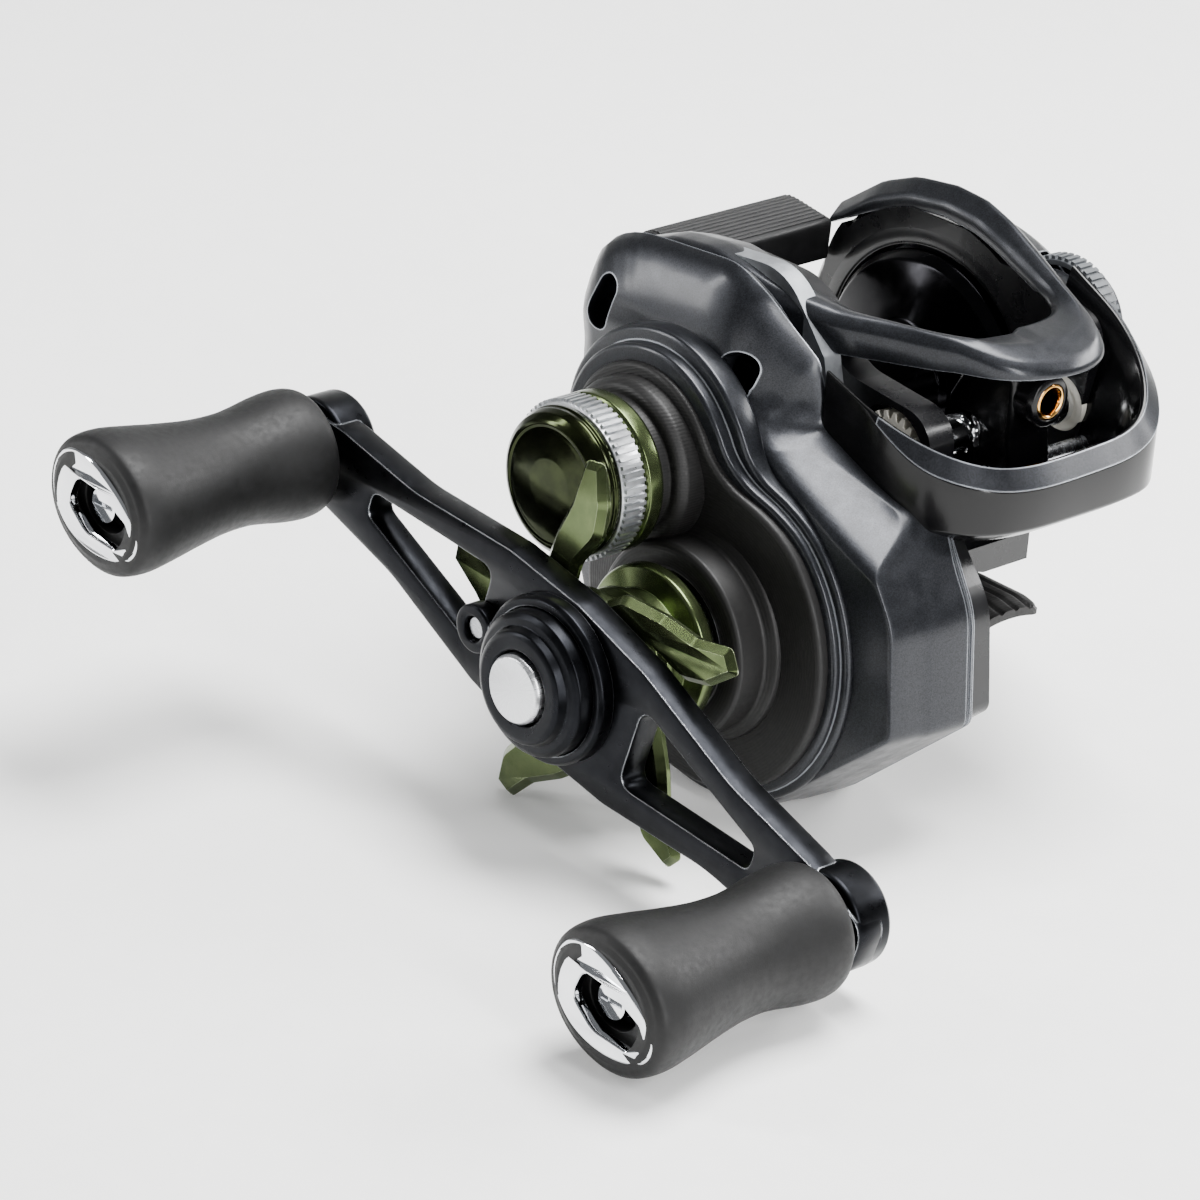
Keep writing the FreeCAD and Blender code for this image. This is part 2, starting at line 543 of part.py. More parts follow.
def knob_posts():
    posts = []
    for sign in (-1, 1):
        ex, ez = along_arm(sign * HANDLE_HALF)
        posts.append(turned([(0, -46.6), (1.98, -46.6), (1.98, -77.4), (0, -77.4)], ex, ez))
    return Part.makeCompound(posts)


def knob_screws():
    screws = []
    for sign in (-1, 1):
        ex, ez = along_arm(sign * HANDLE_HALF)
        slot = block(ex - 1.5, ex + 1.5, -79.4, -78.5, ez - 0.3, ez + 0.3)
        screws.append(rod(1.9, -79.0, -77.42, ex, ez).cut(slot))
    return Part.makeCompound(screws)


def knob_grip(sign):
    """Waisted paddle knob, hollow at its outer end for the screw."""
    ex, ez = along_arm(sign * HANDLE_HALF)
    end = KNOB_END
    profile = [(2.04, KNOB_ROOT), (6.0, KNOB_ROOT), (6.8, KNOB_ROOT - 1.0), (6.7, KNOB_ROOT - 4.0),
               (6.2, KNOB_ROOT - 8.0), (6.3, KNOB_ROOT - 12.0), (7.1, KNOB_ROOT - 17.0), (8.2, KNOB_ROOT - 22.0),
               (8.6, KNOB_ROOT - 25.0), (8.2, KNOB_ROOT - 27.6), (6.9, end + 0.3), (5.2, end + 0.2),
               (5.2, end + 2.0), (3.4, end + 2.0), (3.4, -76.9), (2.04, -76.9)]
    return turned(profile, ex, ez)


def knob_cap(sign):
    """Bridged end cap with two lens-shaped windows over the screw."""
    ex, ez = along_arm(sign * HANDLE_HALF)
    cap = rod(5.16, KNOB_END, KNOB_END + 1.6, ex, ez)
    for shift in (-2.3, 2.3):
        cap = cap.cut(block(ex - 2.6, ex + 2.6, KNOB_END - 1, KNOB_END + 3, ez + shift - 1.1, ez + shift + 1.1))
    return cap


# ---- drag ----
STAR_EDGE = ((6.5, 75, 0.5), (11.0, 43, 3), (14.6, 21, 4), (18.0, 9, 3), (22.4, 4, 0.8),
             (22.6, -3, 0.8), (18.5, -7, 3), (14.6, -6, 4), (11.0, 9, 3), (6.5, 30, 0.5))


def star_drag():
    """Five swept arms on a flanged hub; each arm's edge is (radius, degrees from the tip, corner radius)."""
    pieces = [rod(6.6, STAR_Y[0], -36.2, SHAFT_X, SHAFT_Z), rod(9.0, -38.2, -36.2, SHAFT_X, SHAFT_Z),
              rod(8.4, STAR_Y[0], STAR_Y[1], SHAFT_X, SHAFT_Z)]
    for i in range(5):
        corners = []
        for radius, lean, corner in STAR_EDGE:
            angle = math.radians(STAR_TIP + 72 * i + lean)
            corners.append((SHAFT_X + radius * math.cos(angle), SHAFT_Z + radius * math.sin(angle), corner))
        pieces.append(slab(corners, STAR_Y[0], STAR_Y[1]))
    return fused(pieces).cut(rod(3.0 + FIT, -50, -30, SHAFT_X, SHAFT_Z))


def tension_cap():
    top = TENSION_Y[2]
    return turned([(0, top - 0.02), (8.2, top - 0.02), (8.2, top - 1.2), (7.6, top - 2.2), (6.4, TENSION_Y[3] + 0.1),
                   (0, TENSION_Y[3])])


# ---- palm side ----
def palm_cover():
    """Domed cover that carries the spool's outer bearing and the brake."""
    dome = turned([(0, WALL_OUT + 0.02), (18.4, WALL_OUT + 0.02), (18.2, 17.5), (16.9, 21.0), (14.2, 24.2),
                   (10.0, 26.4), (5.0, 27.2), (0, 27.2)])
    lobe = turned([(0, WALL_OUT + 0.02), (6.4, WALL_OUT + 0.02), (6.4, 21.6), (5.4, 23.6), (0, 23.8)],
                  DIAL_X, DIAL_Z)
    plug = rod(RING_R - 0.3, 13.2, WALL_OUT + 0.5)
    body = fused([dome, lobe, plug])
    room = turned([(0, 13.0), (13.4, 13.0), (13.4, 17.6), (11.6, 18.4), (0, 18.4)])
    boss = tube(5.6, 3.6, 16.0, 24.0)
    slot = rod(DIAL_R + 0.5, 18.5, 21.5, DIAL_X, DIAL_Z).cut(rod(6.2, 10, 30))
    body = body.cut(room).cut(slot)
    body = fused([body, boss])
    return body.cut(rod(3.6, 12.0, 23.0))


def brake_dial():
    """Knurled wheel that sets the spool brake."""
    wheel = rod(DIAL_R, 18.8, 21.2, DIAL_X, DIAL_Z).cut(rod(6.6, 10, 30))
    ridges = []
    for i in range(40):
        a = i * 2 * math.pi / 40
        ridges.append(rod(0.22, 18.7, 21.3, DIAL_X + DIAL_R * math.cos(a), DIAL_Z + DIAL_R * math.sin(a)))
    return wheel.cut(fused(ridges))


def main():
    save("frame", frame())
    save("nose_cover", nose_cover())
    save("top_hood", top_hood())
    save("gear_side_cover", gear_side_cover())
    save("gear_housing", gear_housing())
    save("set_plate", set_plate())
    save("reel_foot", reel_foot())
    save("foot_rivets", foot_rivets())
    save("cover_screws", cover_screws())
    save("guide_rod", rod(0.9, -12.7, 13.9, ROD_X, ROD_Z))
    save("worm_bushes", worm_bushes())
    save("idler_pin", rod(0.78, -17.4, -12.9, IDLE_X, IDLE_Z))
    save("drive_shaft_bearing", tube(3.98, 1.5 + FIT, -17.2, -15.1, SHAFT_X, SHAFT_Z))
    save("pinion_bearing", tube(4.98, 2.5 + FIT, -17.3, -15.1))
    save("spool_end_bearing", tube(3.98, 1.5 + FIT, -29.5, -27.6))
    save("roller_clutch", tube(6.98, 4.2 + FIT, -34.6, -29.4, SHAFT_X, SHAFT_Z))
    save("yoke_posts", yoke_posts())
    save("clutch_yoke", clutch_yoke())
    save("clutch_cam", clutch_cam())
    save("thumb_bar", thumb_bar())
    save("thumb_link", thumb_link())
    save("pinion", pinion())
    save("drive_shaft", drive_shaft())
    save("drive_gear", drive_gear())
    save("ratchet", spur(20, 0.6, -18.4, -17.6, SHAFT_X, SHAFT_Z, 0.0, 3.02))
    save("drag_washers", tube(11.0, 3.02, -24.9, -24.12, SHAFT_X, SHAFT_Z))
    save("pressure_plate", tube(9.0, 3.02, -26.0, -24.92, SHAFT_X, SHAFT_Z))
    save("spring_washers", tube(5.6, 3.02, -28.2, -26.1, SHAFT_X, SHAFT_Z))
    save("clutch_sleeve", tube(4.2, 3.02, -35.6, -28.3, SHAFT_X, SHAFT_Z))
    save("level_wind_gear", wind_gear(0, -14.8, -13.0, SHAFT_X, SHAFT_Z, WORM_DIR, 1.52))
    save("intermediate_gear", wind_gear(1, -14.8, -13.0, IDLE_X, IDLE_Z, WORM_DIR, 0.78 + FIT))
    save("worm_gear", wind_gear(2, -14.8, -13.0, WORM_X, WORM_Z,
                                WORM_DIR + math.pi + math.pi / WIND_TEETH[2], 1.52))
    save("worm_shaft", worm_shaft())
    save("guide_block", guide_block())
    save("guide_insert", guide_insert())
    save("guide_pawl", guide_pawl())
    save("pawl_cap", pawl_cap())
    save("spool", spool())
    save("spool_shaft", spool_shaft())
    save("spool_pin", spool_pin())
    save("brake_rotor", tube(6.2, 1.52, 14.2, 15.6))
    save("handle_arm", handle_arm())
    save("handle_nut", handle_nut())
    save("nut_cap", nut_cap())
    save("nut_retainer", nut_retainer())
    save("retainer_screw", retainer_screw())
    save("knob_posts", knob_posts())
    save("knob_screws", knob_screws())
    for name, sign in (("rear", -1), ("front", 1)):
        save("knob_grip_" + name, knob_grip(sign))
        save("knob_cap_" + name, knob_cap(sign))
    save("star_drag", star_drag())
    save("tension_base", tube(8.8, 5.9, TENSION_Y[1], TENSION_Y[0]))
    save("tension_ring", tube(8.7, 5.9, TENSION_Y[2], TENSION_Y[1] - 0.02))
    save("tension_cap", tension_cap())
    save("palm_cover", palm_cover())
    save("palm_bearing", tube(3.58, 1.5 + FIT, 18.6, 20.8))
    save("brake_drum", tube(9.0, 7.2, 15.1, 18.38))
    save("brake_dial", brake_dial())


main()
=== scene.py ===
# %% [markdown]
# # Low-profile baitcasting reel
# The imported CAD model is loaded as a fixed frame. Visible pieces are then built again with smooth
# turned forms, bevelled plates and skinned shells, each in the place of its CAD node. Inner pieces
# keep their CAD mesh and only get a finish. All sizes are in millimetres from the spool axis.
# %% Load the frame
import json
import math
import bpy
import bmesh
from mathutils import Matrix, Vector


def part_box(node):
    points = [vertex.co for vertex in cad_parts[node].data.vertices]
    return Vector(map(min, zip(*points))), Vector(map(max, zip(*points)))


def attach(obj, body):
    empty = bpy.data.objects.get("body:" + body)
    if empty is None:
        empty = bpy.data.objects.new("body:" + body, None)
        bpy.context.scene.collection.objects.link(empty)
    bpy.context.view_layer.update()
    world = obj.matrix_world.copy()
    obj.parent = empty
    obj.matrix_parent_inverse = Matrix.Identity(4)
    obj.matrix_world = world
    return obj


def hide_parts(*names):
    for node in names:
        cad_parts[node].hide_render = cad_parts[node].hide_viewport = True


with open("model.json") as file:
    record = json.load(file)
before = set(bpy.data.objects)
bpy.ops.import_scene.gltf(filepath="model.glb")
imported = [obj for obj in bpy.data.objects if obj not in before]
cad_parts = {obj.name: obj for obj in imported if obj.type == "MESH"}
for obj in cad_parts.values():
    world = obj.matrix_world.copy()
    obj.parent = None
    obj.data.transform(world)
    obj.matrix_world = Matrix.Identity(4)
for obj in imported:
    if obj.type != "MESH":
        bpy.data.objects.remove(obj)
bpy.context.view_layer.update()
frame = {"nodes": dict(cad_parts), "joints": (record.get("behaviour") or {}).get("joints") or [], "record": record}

# %% [markdown]
# ## Axes
# Every place comes from the joints of the frame: the spool axis is the origin of the outlines below,
# and the main shaft, the worm, the knobs and the brake dial are measured from it.
# %% Axes from the joints
MM = 0.001
JOINT = {j["name"]: Vector(j["pos_m"]) / MM for j in frame["joints"] if j["type"] == "hinge"}
LIFT = JOINT["spool_spin"].z                       # spool axis above the foot


def from_spool(name):
    """(x, z) of a joint's axis, measured from the spool axis."""
    return JOINT[name].x, JOINT[name].z - LIFT


SHAFT = from_spool("handle_turn")
WORM = from_spool("worm_turn")
KNOBS = {"rear": from_spool("knob_rear_spin"), "front": from_spool("knob_front_spin")}
DIAL = from_spool("dial_turn")
SPOOL = (0.0, 0.0)


def span(node):
    """Lowest and highest corner of a CAD node in millimetres, measured from the spool axis."""
    low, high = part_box(node)
    return low / MM - Vector((0, 0, LIFT)), high / MM - Vector((0, 0, LIFT))


print("main shaft at", [round(c, 2) for c in SHAFT], "worm at", [round(c, 2) for c in WORM])

# %% [markdown]
# ## Outline and mesh tools
# `rounded` turns corners into a smooth outline, `lathe` turns a profile about a Y axis, `plate` is a
# bevelled sheet between two depths, and `skin` stretches a surface over equal sections.
# %% Outlines
def rounded(corners, steps=6):
    """Points of a closed outline through corners (u, v, radius)."""
    count = len(corners)
    area = sum(corners[i][0] * corners[(i + 1) % count][1] - corners[(i + 1) % count][0] * corners[i][1]
               for i in range(count))
    if area < 0:
        corners = corners[::-1]
    places = [Vector(c[:2]) for c in corners]
    runs = [(places[(i + 1) % count] - places[i]).normalized() for i in range(count)]
    outline = []
    for i in range(count):
        before, after = runs[i - 1], runs[i]
        turn = before.x * after.y - before.y * after.x
        here = places[i]
        radius = max(corners[i][2], 0.05) if turn > 0 else corners[i][2]
        half = before.angle(after) / 2
        reach = radius * math.tan(half)
        for k in range(steps + 1):
            t = k / steps
            outline.append((here - before * reach) * (1 - t) ** 2 + here * 2 * t * (1 - t)
                           + (here + after * reach) * t ** 2)
    return [(p.x, p.y) for p in outline]


def soft(profile, radius=0.25, steps=3, closed=False):
    """Profile points with every corner eased by up to radius."""
    points = [Vector(p) for p in profile]
    eased = []
    for i, here in enumerate(points):
        if not closed and i in (0, len(points) - 1):
            eased.append(here)
            continue
        back, ahead = points[i - 1] - here, points[(i + 1) % len(points)] - here
        reach = min(radius, back.length * 0.45, ahead.length * 0.45)
        if back.length < 1e-6 or ahead.length < 1e-6:
            continue
        start, end = here + back.normalized() * reach, here + ahead.normalized() * reach
        for k in range(steps + 1):
            t = k / steps
            eased.append(start * (1 - t) ** 2 + here * 2 * t * (1 - t) + end * t ** 2)
    return [tuple(p) for p in eased]


def circle(radius, centre=SPOOL, count=96):
    turns = [2 * math.pi * i / count for i in range(count)]
    return [(centre[0] + radius * math.cos(turn), centre[1] + radius * math.sin(turn)) for turn in turns]


def smooth_step(low, high, value):
    t = min(1.0, max(0.0, (value - low) / (high - low)))
    return t * t * (3 - 2 * t)


# %% [markdown]
# Every piece is one closed surface, measured in millimetres from the spool axis. Lathes and skins give
# full control of the edge loops. Plates are bevelled while they are made, so no modifier is left over.
# The last step welds the mesh, turns its normals outward, marks the sharp edges and gives it a finish.
# %% Meshes
def finished(name, mesh, finish, body, replaces=(), angle=32):
    """Links a mesh as one finished piece that rides on a body; angle is where its edges turn sharp."""
    mesh.name = name
    work = bmesh.new()
    work.from_mesh(mesh)
    bmesh.ops.remove_doubles(work, verts=work.verts, dist=2e-6)
    bmesh.ops.dissolve_degenerate(work, edges=work.edges, dist=1e-7)
    bmesh.ops.recalc_face_normals(work, faces=work.faces)
    work.to_mesh(mesh)
    work.free()
    for polygon in mesh.polygons:
        polygon.use_smooth = True
    mesh.set_sharp_from_angle(angle=math.radians(angle))
    mesh.materials.clear()
    mesh.materials.append(MAT[finish])
    piece = bpy.data.objects.new(name, mesh)
    bpy.context.scene.collection.objects.link(piece)
    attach(piece, body)
    if replaces:
        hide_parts(*replaces)
    return piece


def new_mesh(points, faces):
    """Mesh from points in millimetres, measured from the spool axis."""
    mesh = bpy.data.meshes.new("mesh")
    mesh.from_pydata([(x * MM, y * MM, (z + LIFT) * MM) for x, y, z in points], [], faces)
    return mesh


def lathe(profile, centre=SPOOL, count=128, shape=None, closed=False):
    """Turned mesh about a Y axis; shape(radius, angle, y) may bend the round section."""
    points, faces = [], []
    rows = len(profile)
    for radius, y in profile:
        for i in range(count):
            a = 2 * math.pi * i / count
            r = shape(radius, a, y) if shape else radius
            points.append((centre[0] + r * math.cos(a), y, centre[1] + r * math.sin(a)))
    for k in range(rows if closed else rows - 1):
        for i in range(count):
            j, n = (i + 1) % count, (k + 1) % rows
            faces.append((k * count + i, k * count + j, n * count + j, n * count + i))
    if not closed:
        faces.append(tuple(range(count)))
        faces.append(tuple((rows - 1) * count + i for i in range(count)))
    return new_mesh(points, faces)


def plate(outlines, y0, y1, bevel, steps=2):
    """Flat sheet between two depths, with bevelled edges; later outlines are holes."""
    curve = bpy.data.curves.new("plate", "CURVE")
    curve.dimensions = "2D"
    curve.fill_mode = "BOTH"
    curve.extrude = (abs(y1 - y0) / 2 - bevel) * MM
    curve.bevel_depth = bevel * MM
    curve.bevel_resolution = steps
    curve.offset = -bevel * MM
    for outline in outlines:
        spline = curve.splines.new("POLY")
        spline.points.add(len(outline) - 1)
        for point, (u, v) in zip(spline.points, outline):
            point.co = (u * MM, v * MM, 0, 1)
        spline.use_cyclic_u = True
    holder = bpy.data.objects.new("plate", curve)
    bpy.context.scene.collection.objects.link(holder)
    mesh = bpy.data.meshes.new_from_object(holder.evaluated_get(bpy.context.evaluated_depsgraph_get()))
    bpy.data.objects.remove(holder)
    bpy.data.curves.remove(curve)
    place = Matrix.Translation((0, (y0 + y1) / 2 * MM, LIFT * MM)) @ Matrix.Rotation(math.pi / 2, 4, "X")
    mesh.transform(place)
    return mesh


def skin(sections):
    """Surface over equal closed sections of (x, y, z) points."""
    count = len(sections[0])
    points = [p for section in sections for p in section]
    faces = []
    for k in range(len(sections) - 1):
        for i in range(count):
            j = (i + 1) % count
            faces.append((k * count + i, k * count + j, (k + 1) * count + j, (k + 1) * count + i))
    faces.append(tuple(range(count)))
    faces.append(tuple((len(sections) - 1) * count + i for i in range(count)))
    return new_mesh(points, faces)


def bar_section(corners, radius, steps=3):
    """Closed section through 3-D corners, each eased by radius."""
    points = [Vector(c) for c in corners]
    section = []
    for i, here in enumerate(points):
        back, ahead = points[i - 1] - here, points[(i + 1) % len(points)] - here
        start = here + back.normalized() * min(radius, back.length * 0.45)
        end = here + ahead.normalized() * min(radius, ahead.length * 0.45)
        for k in range(steps + 1):
            t = k / steps
            section.append(tuple(start * (1 - t) ** 2 + here * 2 * t * (1 - t) + end * t ** 2))
    return section


def spline_rail(points, count):
    """Catmull-Rom curve through points, sampled evenly in its parameter."""
    places = [Vector(p) for p in points]
    places = [places[0] * 2 - places[1]] + places + [places[-1] * 2 - places[-2]]
    rail = []
    for i in range(count):
        s = i / (count - 1) * (len(places) - 3)
        k = min(int(s), len(places) - 4)
        t = s - k
        a, b, c, d = places[k:k + 4]
        rail.append(b + (c - a) * (t / 2) + (a * 2 - b * 5 + c * 4 - d) * (t * t / 2)
                    + (b * 3 - a - c * 3 + d) * (t ** 3 / 2))
    return rail


def merged(meshes):
    """One mesh that holds several closed ones."""
    work = bmesh.new()
    for mesh in meshes:
        work.from_mesh(mesh)
        bpy.data.meshes.remove(mesh)
    mesh = bpy.data.meshes.new("merged")
    work.to_mesh(mesh)
    work.free()
    return mesh


def carved(mesh, cutters):
    """Mesh with the cutter meshes taken out of it."""
    base = bpy.data.objects.new("base", mesh)
    tool = bpy.data.objects.new("tool", merged(cutters))
    for obj in (base, tool):
        bpy.context.scene.collection.objects.link(obj)
        work = bmesh.new()
        work.from_mesh(obj.data)
        bmesh.ops.remove_doubles(work, verts=work.verts, dist=2e-6)
        bmesh.ops.recalc_face_normals(work, faces=work.faces)
        work.to_mesh(obj.data)
        work.free()
    cut = base.modifiers.new("cut", "BOOLEAN")
    cut.operation = "DIFFERENCE"
    cut.solver = "EXACT"
    cut.object = tool
    result = bpy.data.meshes.new_from_object(base.evaluated_get(bpy.context.evaluated_depsgraph_get()))
    bpy.data.objects.remove(base)
    bpy.data.objects.remove(tool)
    return result


# %% [markdown]
# ## Materials
# Each finish is a small node tree on one principled shader. Colours are written as sRGB hex and turned
# to linear in one place. Object coordinates are in metres, so the scale of a pattern is one over the
# width of its grain.
# %% One colour, one scale, one node
def linear(code):
    """Linear RGBA from an sRGB hex colour."""
    channels = [int(code[i:i + 2], 16) / 255 for i in (1, 3, 5)]
    return tuple(c / 12.92 if c <= 0.04045 else ((c + 0.055) / 1.055) ** 2.4 for c in channels) + (1.0,)


def per_mm(width):
    """Texture scale for a grain of this width in millimetres."""
    return 1 / (width * MM)


def add(tree, kind, links=None, values=None, **settings):
    """Adds a node with its settings, values and incoming links."""
    item = tree.nodes.new(kind)
    for key, value in settings.items():
        setattr(item, key, value)
    for key, value in (values or {}).items():
        item.inputs[key].default_value = value
    for key, source in (links or {}).items():
        tree.links.new(source, item.inputs[key])
    return item


def surface(name, **values):
    """New material with one principled shader."""
    material = bpy.data.materials.new(name)
    material.use_nodes = True
    tree = material.node_tree
    tree.nodes.clear()
    shader = add(tree, "ShaderNodeBsdfPrincipled", values=values)
    add(tree, "ShaderNodeOutputMaterial", {"Surface": shader.outputs["BSDF"]})
    where = add(tree, "ShaderNodeTexCoord").outputs["Object"]
    return material, tree, shader, where


# %% [markdown]
# Real surfaces are never even. In most finishes here the colour, the roughness and the relief each
# follow a noise of their own width, so a highlight breaks up a little as it crosses a piece. A second
# helper paints a highlight: a brighter line mixed into the colour along the edges.
# %% Uneven surfaces and painted edge highlights
NOISE = {"Detail": 3.0, "Roughness": 0.6}
MIDDLE = {"From Min": 0.3, "From Max": 0.7}        # where nearly all of a noise's values lie
RELIEF = 0.6                                       # strength of every bump


def textured(name, tones, roughness, widths, depth, **values):
    """Surface whose colour, roughness and relief follow three noises; widths and depth are in mm."""
    material, tree, shader, where = surface(name, **values)
    grains = []
    for width in widths:
        grain = add(tree, "ShaderNodeTexNoise", {"Vector": where}, {"Scale": per_mm(width), **NOISE})
        grains.append(grain.outputs["Fac"])
    share = add(tree, "ShaderNodeMapRange", {"Value": grains[0]}, MIDDLE)
    tone = add(tree, "ShaderNodeMix", {"Factor": share.outputs["Result"]},
               {"A": linear(tones[0]), "B": linear(tones[1])}, data_type="RGBA")
    rough = add(tree, "ShaderNodeMapRange", {"Value": grains[1]},
                {**MIDDLE, "To Min": roughness[0], "To Max": roughness[1]})
    bump = add(tree, "ShaderNodeBump", {"Height": grains[2]}, {"Strength": RELIEF, "Distance": depth * MM})
    tree.links.new(tone.outputs["Result"], shader.inputs["Base Color"])
    tree.links.new(rough.outputs["Result"], shader.inputs["Roughness"])
    tree.links.new(bump.outputs["Normal"], shader.inputs["Normal"])
    return material, tree, shader, tone.outputs["Result"]


def paint_edge_highlight(tree, shader, tone, colour, radius):
    """Mixes a colour over the tone wherever a rounded normal leaves the true one, which is at edges: a painted
    edge highlight.
    """
    # painted highlight: a pale colour mixed over the tone along every edge
    eased = add(tree, "ShaderNodeBevel", values={"Radius": radius * MM}, samples=6)
    true_normal = add(tree, "ShaderNodeNewGeometry").outputs["Normal"]
    match = add(tree, "ShaderNodeVectorMath", {0: eased.outputs[0], 1: true_normal}, operation="DOT_PRODUCT")
    edge = add(tree, "ShaderNodeMapRange", {"Value": match.outputs["Value"]},
               {"From Min": 0.97, "From Max": 0.84, "To Min": 0.0, "To Max": 1.0})
    painted_highlight = add(tree, "ShaderNodeMix", {"Factor": edge.outputs["Result"], "A": tone},
                 {"B": linear(colour)}, data_type="RGBA")
    tree.links.new(painted_highlight.outputs["Result"], shader.inputs["Base Color"])


def axis_polar(tree, where, centre):
    """Distance from a Y axis in metres, and the angle about it."""
    shift = add(tree, "ShaderNodeVectorMath", {0: where},
                {1: (centre[0] * MM, 0, (centre[1] + LIFT) * MM)}, operation="SUBTRACT")
    split = add(tree, "ShaderNodeSeparateXYZ", {0: shift.outputs[0]})
    flat = add(tree, "ShaderNodeCombineXYZ", {0: split.outputs[0], 1: split.outputs[2]})
    length = add(tree, "ShaderNodeVectorMath", {0: flat.outputs[0]}, operation="LENGTH")
    angle = add(tree, "ShaderNodeMath", {0: split.outputs[2], 1: split.outputs[0]}, operation="ARCTAN2")
    return length.outputs["Value"], angle.outputs[0]


# %% [markdown]
# The covers are cast metal under a satin graphite paint. Its metal flake is a fine cell pattern that
# gives the dark colour a grain of light, and a thin clear coat adds a soft second highlight. The flake
# is drawn coarser than the real one, or it would not show.
# %% Satin graphite paint
def graphite_paint():
    """Satin metallic paint with a painted highlight along its edges."""
    material, tree, shader, where = surface("satin_graphite_paint", **{
        "Metallic": 0.75, "Coat Weight": 0.25, "Coat Roughness": 0.18})
    flake = add(tree, "ShaderNodeTexVoronoi", {"Vector": where}, {"Scale": per_mm(0.09)})
    sparkle = add(tree, "ShaderNodeMapRange", {"Value": flake.outputs["Color"]}).outputs["Result"]
    tone = add(tree, "ShaderNodeMix", {"Factor": sparkle},
               {"A": linear("#121316"), "B": linear("#2b2d32")}, data_type="RGBA")
    # painted highlight: pale grey mixed into the paint along every edge
    paint_edge_highlight(tree, shader, tone.outputs["Result"], "#a9adb4", 0.35)
    cloud = add(tree, "ShaderNodeTexNoise", {"Vector": where}, {"Scale": per_mm(1.8), **NOISE})
    rough = add(tree, "ShaderNodeMapRange", {"Value": cloud.outputs["Fac"]},
                {**MIDDLE, "To Min": 0.30, "To Max": 0.42})
    tree.links.new(rough.outputs["Result"], shader.inputs["Roughness"])
    bump = add(tree, "ShaderNodeBump", {"Height": sparkle}, {"Strength": RELIEF, "Distance": 0.004 * MM})
    tree.links.new(bump.outputs["Normal"], shader.inputs["Normal"])
    return material


# %% [markdown]
# The raised gear housing is matt black and turned: fine rings run round the main shaft. They are a sine
# of the distance from the shaft, used for both colour and relief.
# %% Turned matt black
RING_PITCH = 0.34                                  # distance from one turned ring to the next


def turned_black():
    """Matt black with fine rings about the main shaft."""
    material, tree, shader, where = surface("matt_black_turned", **{"Specular IOR Level": 0.3})
    distance, _ = axis_polar(tree, where, SHAFT)
    wave = add(tree, "ShaderNodeMath", {0: distance}, {1: 2 * math.pi * per_mm(RING_PITCH)},
               operation="MULTIPLY")
    rings = add(tree, "ShaderNodeMath", {0: wave.outputs[0]}, operation="SINE").outputs[0]
    share = add(tree, "ShaderNodeMapRange", {"Value": rings}, {"From Min": -1.0, "From Max": 1.0})
    tone = add(tree, "ShaderNodeMix", {"Factor": share.outputs["Result"]},
               {"A": linear("#0a0a0a"), "B": linear("#121111")}, data_type="RGBA")
    cloud = add(tree, "ShaderNodeTexNoise", {"Vector": where}, {"Scale": per_mm(0.5), **NOISE})
    rough = add(tree, "ShaderNodeMapRange", {"Value": cloud.outputs["Fac"]},
                {**MIDDLE, "To Min": 0.42, "To Max": 0.56})
    bump = add(tree, "ShaderNodeBump", {"Height": rings}, {"Strength": RELIEF, "Distance": 0.008 * MM})
    tree.links.new(tone.outputs["Result"], shader.inputs["Base Color"])
    tree.links.new(rough.outputs["Result"], shader.inputs["Roughness"])
    tree.links.new(bump.outputs["Normal"], shader.inputs["Normal"])
    return material


# %% [markdown]
# Plastic and rubber share one recipe: a broad change of tone, a middle one of roughness and a fine
# moulded skin. A gloss paint gets a thin coat. Anodised aluminium is the same recipe as a metal with
# a painted highlight along its edges, and bare metal is the same again with a finer machining grain.
# %% Moulded, anodised and bare metal
def moulded(name, tones, roughness, width=0.25, depth=0.01, coat=0.0, gloss=0.5):
    """Moulded plastic, rubber or gloss paint; width is the grain of its skin."""
    return textured(name, tones, roughness, (width * 8, width * 5, width), depth, **{
        "Specular IOR Level": gloss, "Coat Weight": coat, "Coat Roughness": 0.06})[0]


def anodised(name, tones, roughness, edge="#c8ccd2", highlight_width=0.3):
    """Anodised aluminium with a painted highlight along its edges."""
    material, tree, shader, tone = textured(name, tones, roughness, (2.5, 1.5, 0.5), 0.001, Metallic=0.95)
    # painted highlight: the edge colour mixed over the tone along every edge
    paint_edge_highlight(tree, shader, tone, edge, highlight_width)
    return material


def metal(name, tones, roughness, width=0.6, depth=0.002):
    """Bare metal with faint machining grain."""
    return textured(name, tones, roughness, (width * 3, width, width / 3), depth, Metallic=1.0)[0]


# %% [markdown]
# The cap on the handle nut is aluminium brushed from its middle outward. The noise runs on the angle
# about the shaft alone, so it makes rays, and anisotropy spreads the light across them in fans.
# %% Radially brushed aluminium
def radial_brushed(name, centre, tones):
    """Bright aluminium brushed outward from an axis."""
    material, tree, shader, where = surface(name, Metallic=1.0, Anisotropic=0.6)
    _, angle = axis_polar(tree, where, centre)
    turn = add(tree, "ShaderNodeCombineXYZ", {0: angle})
    noise = add(tree, "ShaderNodeTexNoise", {"Vector": turn.outputs[0]}, {"Scale": 26.0, "Detail": 6.0})
    rays = noise.outputs["Fac"]
    share = add(tree, "ShaderNodeMapRange", {"Value": rays}, MIDDLE)
    tone = add(tree, "ShaderNodeMix", {"Factor": share.outputs["Result"]},
               {"A": linear(tones[0]), "B": linear(tones[1])}, data_type="RGBA")
    rough = add(tree, "ShaderNodeMapRange", {"Value": rays}, {**MIDDLE, "To Min": 0.22, "To Max": 0.4})
    bump = add(tree, "ShaderNodeBump", {"Height": rays}, {"Strength": RELIEF, "Distance": 0.01 * MM})
    tree.links.new(tone.outputs["Result"], shader.inputs["Base Color"])
    tree.links.new(rough.outputs["Result"], shader.inputs["Roughness"])
    tree.links.new(bump.outputs["Normal"], shader.inputs["Normal"])
    return material
